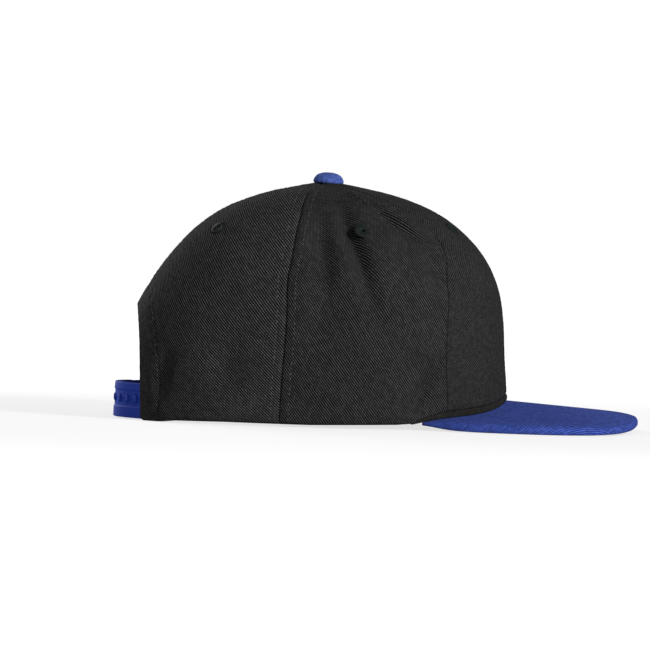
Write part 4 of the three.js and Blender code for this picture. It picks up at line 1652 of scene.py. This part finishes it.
@dataclass
class SeamRoll:
    """The sewn roll on which the front of the crown ends, in millimetres."""

    form: CrownForm
    cap: CapFrame
    end_angle: float = 60
    swell: float = 0.2
    waist: float = 0.4
    unevenness: float = 0.1
    wall: float = 2.0
    steps: int = 220

    def build(self, finish: TwillFinish) -> None:
        """Builds the roll.

        Args:
            finish: Its cloth.
        """
        form = self.form
        shares = np.concatenate([np.linspace(0, 1, 13), np.linspace(1, 0, 7), [0]])
        outer = np.concatenate([np.ones(13), np.zeros(7), [1]])
        angle, index = np.meshgrid(
            np.linspace(-self.end_angle, self.end_angle, self.steps + 1), np.arange(len(shares)))
        share, on_face = shares[index], outer[index]
        roll = form.roll_at(angle)
        row = form.row_at(form.rim_height(angle) + roll * share)
        strength = roll / form.roll_height
        full = np.sin(math.pi * share)
        bulge = (-self.waist + (self.swell + self.waist) * full ** 0.45) * strength
        uneven = self.unevenness * ripple(angle * 1.6, 8, 23) * full
        offset = np.where(on_face > 0, bulge + uneven, -self.wall)
        points = form.point(angle, row, offset)
        flat = form.flat(angle, row, 0.0)
        flat[..., 1] += np.where(on_face > 0, 0, 6)
        mesh = closed(Patch(self.cap(points), flat * MM).bmesh())
        finished(mesh, "peak_seam_roll_cloth", finish.material(),
                 "peak_seam_roll", sharp=70)


@dataclass
class Peak:
    """The stiff peak, covered in cloth that is drawn round its edge, in millimetres."""

    form: CrownForm
    cap: CapFrame
    length: float = 70.5
    half_width: float = 92
    widest: float = 13
    thickness: float = 4.2
    end_angle: float = 56
    end_width: float = 3.2
    end_thickness: float = 1.6
    end_from: float = 0.88
    end_out: float = 0.7
    end_back: float = 0.4
    tip_rise: float = 4.4
    bulge: float = 2.1
    side_bulge: float = 0.5
    bulge_square: float = 12
    settle: float = 0.6
    fullness: float = 0.05
    rounding: float = 0.85
    rounding_limit: float = 0.3
    root_wall: float = 2.0
    seam_gap: float = 0.03
    edge_places: tuple[float, ...] = (0, 0.12, 0.24, 0.34, 0.46, 0.6, 0.84, 0.92, 1)
    edge_rises: tuple[float, ...] = (1, 0.78, 0.36, 0.14, 0.03, 0, 0, 0.06, 0.42)
    steps: int = 220
    face_steps: int = 40
    edge_steps: int = 7

    def edge(self, along: Array) -> Array:
        """Points of the outer edge, from -1 at the right end to 1 at the left end.

        Args:
            along: Shares along the edge.

        Returns:
            The points.
        """
        form = self.form
        end = form.point(np.array(self.end_angle),
                         form.row_at(form.rim_height(np.array(self.end_angle))), 0.0)
        widest = form.half_length + self.widest
        end_turn = math.acos((end[1] + self.end_width * self.end_out) / self.half_width)
        back = (widest - end[0] + self.end_width * self.end_back) / math.sin(end_turn)
        turn = along * (math.pi / 2 + end_turn)
        ahead = np.cos(turn)
        full = 1 + np.where(ahead > 0, self.fullness * np.sin(2 * turn) ** 2, 0)
        reach = np.where(ahead > 0, form.half_length + self.length - widest, back)
        smooth = np.linspace(0, 1, 241)
        rises = np.interp(smooth, self.edge_places, self.edge_rises)
        kernel = np.hanning(25) / np.hanning(25).sum()
        padded = np.concatenate([rises[12:0:-1], rises, np.full(12, rises[-1])])
        rises = np.convolve(padded, kernel, "valid")
        rise = self.tip_rise * np.interp(np.abs(along), smooth, rises)
        return np.stack([widest + reach * ahead * full,
                         self.half_width * np.sin(turn) * full,
                         self.thickness / 2 - self.settle + rise], axis=-1)

    def stations(self) -> tuple[Array, Array, Array]:
        """The stations round the peak's section.

        Returns:
            Share of the way out, turn round the edge in radians, and sign of the face.
        """
        out = np.linspace(0, 1, self.face_steps + 1)[:-1]
        turns = np.linspace(0, math.pi / 2, self.edge_steps + 1)
        share = np.concatenate([out, np.ones(2 * len(turns)), out[::-1]])
        turn = np.concatenate([np.zeros(len(out)), turns, turns[::-1], np.zeros(len(out))])
        sign = np.concatenate([np.ones(len(out) + len(turns)),
                               -np.ones(len(out) + len(turns))])
        return share, turn, sign

    def build(self, finish: TwillFinish) -> None:
        """Builds the peak.

        Args:
            finish: Its cloth.
        """
        form = self.form
        share_of, turn_of, sign_of = self.stations()
        along, index = np.meshgrid(np.linspace(-1, 1, self.steps + 1), np.arange(len(share_of)))
        share, turn, sign = share_of[index], turn_of[index], sign_of[index]
        angle = along * self.end_angle
        end_share = smoothstep(np.abs(along), self.end_from, 1)
        half = lerp(self.thickness, self.end_thickness, end_share) / 2
        root = form.point(angle, form.row_at(form.rim_height(angle)), -self.root_wall)
        root[..., 2] = form.rim_height(angle) - self.seam_gap - half
        edge = self.edge(along)
        width = np.linalg.norm(edge - root, axis=-1)
        rounding = np.minimum(half * self.rounding, width * self.rounding_limit)
        place = share * (1 - rounding / width) + rounding / width * np.sin(turn)
        drop = rounding * (1 - np.cos(turn))
        swell = self.bulge * (1 - self.side_bulge * along * along) * (1 - end_share)
        points = root + (edge - root) * place[..., None]
        points[..., 2] += swell * place * (1 - place ** self.bulge_square) + sign * (half - drop)
        outward = (edge - root)[..., :2] / np.linalg.norm((edge - root)[..., :2], axis=-1,
                                                          keepdims=True)
        steps = np.linalg.norm(np.diff(points, axis=0), axis=-1)
        travel = np.concatenate([np.zeros((1, steps.shape[1])), np.cumsum(steps, axis=0)])
        total = travel[-1]
        travel = np.where(sign > 0, travel, np.where(travel > total / 2 + 3, total - travel, travel))
        flat = root[..., :2] + outward * travel[..., None]
        mesh = closed(Patch(self.cap(points), flat * MM).bmesh())
        finished(mesh, "peak_cloth", finish.material(), "peak")


@dataclass
class Sweatband:
    """The band of cloth inside the rim, in millimetres."""

    form: CrownForm
    cap: CapFrame
    height: float = 31
    wall: float = 1.2
    lift: float = 0.15
    face: float = 2.35
    back_face: float = 4.45
    rounding: float = 0.5
    wave_depth: float = 0.12
    wave_length: float = 16
    shift_from: float = 116
    shift_to: float = 132
    steps: int = 260

    def build(self, finish: TwillFinish) -> None:
        """Builds the band.

        Args:
            finish: Its cloth.
        """
        form = self.form
        across, depth = strip_section(self.height, self.wall, self.rounding, 24, 16, 3)
        middle_row = form.row_at(self.height / 2)
        end = float(form.back_angle(np.array(form.arch_half_width + 0.3), middle_row))
        angle, index = np.meshgrid(np.linspace(-end, end, self.steps + 1),
                                   np.arange(len(across)))
        shift = smoothstep(np.abs(angle), self.shift_from, self.shift_to)
        face = -lerp(self.face, self.back_face, shift)
        row = form.row_at(form.rim_height(angle) + self.lift + across[index])
        wave = ripple(angle * 1.7, self.wave_length, 5) - 1
        points = form.point(angle, row, face + depth[index] + self.wave_depth * wave)
        flat = form.flat(angle, row, 0.0)
        flat[..., 1] = outline_length(across, depth)[index]
        patch = Patch(self.cap(points), flat * MM)
        piece = finished(closed(patch.bmesh()), "sweatband_cloth", finish.material(),
                         "sweatband")


@dataclass
class Strap:
    """The two halves of the strap and the snaps that join them, in millimetres."""

    form: CrownForm
    cap: CapFrame
    height: float = 19.3
    lift: float = 0.6
    wall: float = 1.6
    swell: float = 0.7
    anchor: float = 10
    tuck: float = 2
    rounding: float = 0.6
    clearance: float = 0.3
    hem_wall: float = 2.2
    channel_width: float = 8.6
    channel_depth: float = 0.45
    channel_rise: float = 0.8
    channel_round: float = 1.6
    channel_slope: float = 0.5
    snap_count: int = 7
    snap_pitch: float = 9.5
    snap_first: float = -35.2
    snap_margin: float = 6.2
    peg_radius: float = 2.2
    peg_proud: float = 0.35
    peg_steps: int = 32
    hole_play: float = 0.2
    hole_steps: int = 40

    def __post_init__(self) -> None:
        """Measures the strap's middle line round the back."""
        angles = np.arange(180, 110, -0.5)
        row = self.row(self.height / 2)
        points = self.form.base(angles, np.full_like(angles, row))
        self.angles = angles
        self.distances = distances(points)
        beyond = points[:, 1] > self.form.arch_half_width
        self.corner = float(self.distances[beyond][0])

    def row(self, rise: Array | float) -> Array:
        """Row of the crown at a height on the strap."""
        return self.form.row_at(self.lift + rise)

    @property
    def layer(self) -> float:
        """Distance from one half's face to the other's."""
        return self.wall + self.clearance

    @property
    def snap_last(self) -> float:
        """Place of the last snap along the strap."""
        return self.snap_first + self.snap_pitch * (self.snap_count - 1)

    @property
    def channel_middle(self) -> float:
        """Place of the channel's middle along the strap."""
        return (self.snap_last + self.snap_first) / 2

    @property
    def channel_reach(self) -> float:
        """Half the channel's length."""
        return (self.snap_last - self.snap_first + self.snap_pitch) / 2

    @property
    def channel_level(self) -> float:
        """Height of the channel's middle above the strap's lower edge."""
        return self.height / 2 + self.channel_rise

    def point(self, distance: Array, rise: Array, depth: Array | float) -> Array:
        """Points of the strap.

        Args:
            distance: Distance along it from the middle of the back, positive on the left.
            rise: Height above its lower edge.
            depth: Distance out of the inner half's face.

        Returns:
            The points.
        """
        distance = np.asarray(distance, float)
        left = np.interp(np.abs(distance), self.distances, self.angles)
        angle = np.where(distance < 0, 360 - left, left)
        y = self.form.base(angle, np.full_like(angle, self.row(self.height / 2)))[..., 1]
        anchored = -(self.hem_wall + self.clearance)
        share = smoothstep(np.abs(y), 0, self.form.arch_half_width - self.tuck)
        held = lerp(self.swell - self.layer, np.where(y < 0, anchored - self.layer, anchored),
                    share)
        return self.form.point(angle, self.row(rise), held + depth)

    def channel(self, distance: Array, rise: Array) -> Array:
        """How deep the channel is at a place, with rounded corners.

        Args:
            distance: Distance along the strap.
            rise: Height above its lower edge.

        Returns:
            The depth there.
        """
        x = np.abs(distance - self.channel_middle) - self.channel_reach + self.channel_round
        y = np.abs(rise - self.channel_level) - self.channel_width / 2 + self.channel_round
        outside = np.hypot(np.maximum(x, 0), np.maximum(y, 0)) + np.minimum(np.maximum(x, y), 0)
        gap = outside - self.channel_round
        return self.channel_depth * (1 - smoothstep(gap, 0, self.channel_slope))

    def stretch(self, start: float, end: float, fine: Sequence[float]) -> Array:
        """Places along a half, closer together near the given ones.

        Args:
            start: The first place.
            end: The last place.
            fine: Places that need more detail.

        Returns:
            The places.
        """
        places = set(np.round(np.arange(start, end, 0.9), 3)) | {round(end, 3)}
        for centre in fine:
            places |= set(np.round(centre + np.arange(-2.4, 2.5, 0.2), 3))
        inside = sorted(p for p in places if start <= p <= end)
        kept = [p for i, p in enumerate(inside) if i == 0 or p - inside[i - 1] > 0.08]
        return np.array(kept)

    def half(self, name: str, start: float, end: float, base: float,
             channelled: bool) -> bmesh.types.BMesh:
        """One half of the strap as a closed mesh.

        Args:
            name: Name of the half, for the report.
            start: Where it starts along the strap.
            end: Where it ends.
            base: Distance of its face out of the inner half's face.
            channelled: Whether the channel is sunk into its face.

        Returns:
            The mesh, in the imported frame.
        """
        steps = 56 if channelled else 16
        across, depth = strip_section(self.height, self.wall, self.rounding, steps, 12)
        ends = (self.channel_middle - self.channel_reach, self.channel_middle + self.channel_reach)
        fine = ends if channelled else ()
        distance, index = np.meshgrid(self.stretch(start, end, fine), np.arange(len(across)))
        rise, sunk = across[index], depth[index]
        if channelled:
            sunk = sunk - np.where(sunk > -0.01, self.channel(distance, rise), 0)
        free = smoothstep(np.minimum(distance - start, end - distance), 0, self.rounding)
        sunk = np.where(sunk > -self.wall / 2, sunk - 0.35 * (1 - free), sunk + 0.35 * (1 - free))
        points = self.point(distance, rise, base + sunk)
        flat = np.stack([distance, outline_length(across, depth)[index]], axis=-1)
        LOG.info("%s: %.1f mm long", name, end - start)
        return closed(Patch(self.cap(points), flat * MM).bmesh())

    def snaps(self) -> list[Matrix]:
        """Place on the inner half's face, and turn, of each snap.

        Returns:
            One matrix for each snap.
        """
        found = []
        for i in range(self.snap_count):
            distance = np.array(self.snap_first + self.snap_pitch * i)
            place = Vector(self.cap(self.point(distance, self.channel_level, 0.0)))
            out = Vector(self.cap(self.point(distance, self.channel_level, 1.0))) - place
            turn = Vector((0, 0, 1)).rotation_difference(out.normalized())
            found.append(Matrix.Translation(place) @ turn.to_matrix().to_4x4())
        return found

    def peg(self, mesh: bmesh.types.BMesh, matrix: Matrix) -> None:
        """Adds one peg with a domed end and a small dimple, spun round its axis.

        Args:
            mesh: The inner half's mesh.
            matrix: Place and turn.
        """
        top = self.layer + self.peg_proud
        profile = [(0.0, top - 0.2), (0.5, top - 0.17), (0.8, top - 0.03), (1.1, top),
                   (1.6, top - 0.1), (1.95, top - 0.35), (2.15, top - 0.75),
                   (self.peg_radius, top - 1.1), (self.peg_radius, -self.wall / 2),
                   (0.0, -self.wall / 2)]
        before = set(mesh.verts)
        spin(mesh, profile, self.peg_steps)
        bmesh.ops.transform(mesh, matrix=matrix,
                            verts=[vert for vert in mesh.verts if vert not in before])

    def drilled(self, piece: bpy.types.Object) -> None:
        """Opens the round holes of the outer half.

        Args:
            piece: The outer half.
        """
        cutter = bmesh.new()
        radius = (self.peg_radius + self.hole_play) * MM
        for matrix in self.snaps():
            bmesh.ops.create_cone(cutter, cap_ends=True, segments=self.hole_steps, radius1=radius,
                                  radius2=radius, depth=10 * MM, matrix=matrix)
        tool = mesh_object(cutter, "strap_drills")
        cut = piece.modifiers.new("Holes", "BOOLEAN")
        cut.object = tool
        cut.solver = "EXACT"
        bpy.context.view_layer.update()
        shaped = bpy.data.meshes.new_from_object(
            piece.evaluated_get(bpy.context.evaluated_depsgraph_get()))
        piece.modifiers.clear()
        piece.data = shaped
        bpy.data.objects.remove(tool)

    def build(self, finish: PlasticFinish) -> None:
        """Builds both halves.

        Args:
            finish: Their plastic.
        """
        outer = finished(
            self.half("outer half", -self.corner - self.anchor, self.snap_last + self.snap_margin,
                      self.layer, True),
            "strap_outer_half", finish.material(), "strap_with_holes", sharp=50)
        self.drilled(outer)
        mesh = self.half("inner half", self.snap_first - self.snap_margin,
                         self.corner + self.anchor, 0.0, False)
        for matrix in self.snaps():
            self.peg(mesh, matrix)
        welded(mesh)
        finished(mesh, "strap_inner_half", finish.material(), "strap_with_pegs",
                 sharp=50)


@dataclass
class TopButton:
    """The cloth-covered button over the meeting of the seams, in millimetres."""

    form: CrownForm
    cap: CapFrame
    radius: float = 8.2
    height: float = 5.4
    shank_radius: float = 2.4
    shank_length: float = 5
    rim_drop: float = 0.75
    seam_gap: float = 0.1
    pleats: int = 15
    steps: int = 90
    tilt: float = 2.0
    face: tuple[tuple[float, float], ...] = (
        (0.9, 0), (0.97, 0.04), (1, 0.14), (0.995, 0.26), (0.96, 0.4), (0.9, 0.55), (0.82, 0.69),
        (0.71, 0.8), (0.58, 0.88), (0.43, 0.94), (0.28, 0.98), (0.14, 0.996), (0, 1))

    def build(self, finish: TwillFinish) -> None:
        """Builds the button.

        Args:
            finish: Its cloth.
        """
        form = self.form
        top = form.base(0.0, float(form.top_row))
        clear = top[2] - form.base(0.0, form.row_of_half_width(self.radius))[2]
        rim = self.seam_gap - clear * self.rim_drop
        profile = [(0.0, -self.shank_length), (self.shank_radius, -self.shank_length),
                   (self.shank_radius, self.seam_gap), (self.radius * 0.55, self.seam_gap - 0.1)]
        profile += [(self.radius * radius, lerp(rim, self.height, height))
                    for radius, height in self.face]
        mesh = bmesh.new()
        layer = mesh.loops.layers.uv.new(CLOTH_MAP)
        spin(mesh, profile, self.steps)
        welded(mesh)
        for vert in mesh.verts:
            radius = math.hypot(vert.co.x, vert.co.y) / MM
            turn = math.atan2(vert.co.y, vert.co.x)
            share = float(smoothstep(radius, self.radius * 0.7, self.radius))
            if vert.co.z > rim * MM - 1e-6 and radius > self.radius * 0.6:
                crease = 0.12 * share * math.sin(self.pleats * turn + 0.8 * math.sin(3 * turn))
                vert.co.x *= 1 + crease / self.radius
                vert.co.y *= 1 + crease / self.radius
        for face in mesh.faces:
            for loop in face.loops:
                x, y, z = loop.vert.co
                radius = math.hypot(x, y)
                stretch = 1 + max(0.0, self.height * MM - z) / max(radius, 1e-4)
                loop[layer].uv = (x * stretch, y * stretch)
        matrix = (Matrix.Translation(Vector(self.cap(top)))
                  @ Matrix.Rotation(math.radians(self.tilt), 4, "Y"))
        bmesh.ops.transform(mesh, matrix=matrix, verts=mesh.verts)
        finished(mesh, "top_button_cloth", finish.material(), "top_button", sharp=60)


@dataclass(frozen=True)
class Softbox:
    """A square soft lamp that faces the cap, in metres and watts."""

    name: str
    place: tuple[float, float, float]
    size: float
    power: float


@dataclass
class Studio:
    """The pale floor, the soft lights and the camera at the photograph's angle, in metres."""

    frame_width: float = 0.35425
    distance: float = 3.0
    elevation: float = 1.0
    roll: float = 1.66
    target: tuple[float, float, float] = (-0.02877, 0.0, 0.0532)
    world_light: float = 0.22
    floor_light: float = 0.15
    floor_glow: float = 0.72
    glow_from: float = 0.3
    glow_to: float = 1.1
    floor_size: float = 12
    floor_drop: float = 0.0002
    floor_shade: float = 0.32
    lit_place: tuple[float, float, float] = (0, 0, 0.05)
    lamps: tuple[Softbox, ...] = (
        Softbox("key_light", (1.2, -1.5, 0.72), 0.42, 38),
        Softbox("back_light", (-1.1, 1.5, 0.6), 0.9, 26))

    def camera(self) -> None:
        """A long lens that looks along +Y."""
        data = bpy.data.cameras.new("camera")
        data.lens = data.sensor_width * self.distance / self.frame_width
        data.clip_start, data.clip_end = 0.05, 60
        data.dof.use_dof = False
        camera = added("camera", data)
        rise = math.radians(self.elevation)
        back = Vector((0, -math.cos(rise), math.sin(rise)))
        camera.location = Vector(self.target) + back * self.distance
        camera.rotation_mode = "QUATERNION"
        level = (-back).to_track_quat("-Z", "Y")
        camera.rotation_quaternion = level @ Quaternion((0, 0, 1), math.radians(self.roll))
        bpy.context.scene.camera = camera

    def lamp(self, box: Softbox) -> None:
        """Sets up one lamp.

        Args:
            box: What it is and where it stands.
        """
        data = bpy.data.lights.new(box.name, "AREA")
        data.shape = "SQUARE"
        data.size = box.size
        data.energy = box.power
        lamp = added(box.name, data)
        lamp.location = box.place
        towards = Vector(self.lit_place) - Vector(box.place)
        lamp.rotation_euler = towards.to_track_quat("-Z", "Y").to_euler()

    def floor(self) -> None:
        """A wide white floor that takes a soft shadow."""
        mesh = bmesh.new()
        bmesh.ops.create_grid(mesh, x_segments=1, y_segments=1, size=self.floor_size)
        bmesh.ops.translate(mesh, verts=mesh.verts, vec=(0, 0, -self.floor_drop))
        floor = mesh_object(mesh, "floor")
        material = bpy.data.materials.new("floor_paper")
        material.use_nodes = True
        shader = material.node_tree.nodes["Principled BSDF"]
        shader.inputs["Base Color"].default_value = (*[self.floor_shade] * 3, 1)
        shader.inputs["Roughness"].default_value = 1.0
        shader.inputs["Specular IOR Level"].default_value = 0.0
        shader.inputs["Emission Strength"].default_value = 1.0
        board = Board(material.node_tree)
        seen = board.add("ShaderNodeLightPath").outputs["Is Camera Ray"]
        place = board.add("ShaderNodeTexCoord").outputs["Object"]
        away = board.add("ShaderNodeVectorMath", {0: place}, operation="LENGTH").outputs["Value"]
        glow = board.ranged(away, self.glow_from, self.glow_to, self.floor_glow, 1.0)
        board.feed(shader.inputs["Emission Color"], board.math(
            "ADD", self.floor_light,
            board.math("MULTIPLY", seen, board.math("SUBTRACT", glow, self.floor_light))))
        floor.data.materials.append(material)

    def build(self) -> None:
        """Sets up the whole studio."""
        world = bpy.data.worlds.new("studio")
        world.use_nodes = True
        board = Board(world.node_tree)
        seen = board.add("ShaderNodeLightPath").outputs["Is Camera Ray"]
        strength = board.math("ADD", self.world_light,
                              board.math("MULTIPLY", seen, 1.0 - self.world_light))
        background = world.node_tree.nodes["Background"]
        background.inputs["Color"].default_value = (1, 1, 1, 1)
        board.feed(background.inputs["Strength"], strength)
        bpy.context.scene.world = world
        bpy.context.scene.view_settings.view_transform = "Standard"
        self.floor()
        for box in self.lamps:
            self.lamp(box)
        self.camera()


def main() -> None:
    """Builds the cap's pieces in order, then the studio."""
    logging.basicConfig(level=logging.INFO, format="%(name)s: %(message)s")
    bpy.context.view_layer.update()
    form = CrownForm()
    button = TopButton(form, CapFrame(form, TopButton.height))
    cap = button.cap
    Studio().build()
    Crown(form, cap).build(Finishes)
    ArchHem(form, cap).build(Finishes.back_cloth, Finishes.seam_thread)
    SeamRoll(form, cap).build(Finishes.roll_cloth)
    Sweatband(form, cap).build(Finishes.band_cloth)
    Peak(form, cap).build(Finishes.peak_cloth)
    Strap(form, cap).build(Finishes.strap_plastic)
    button.build(Finishes.button_cloth)


if __name__ == "__main__":
    main()
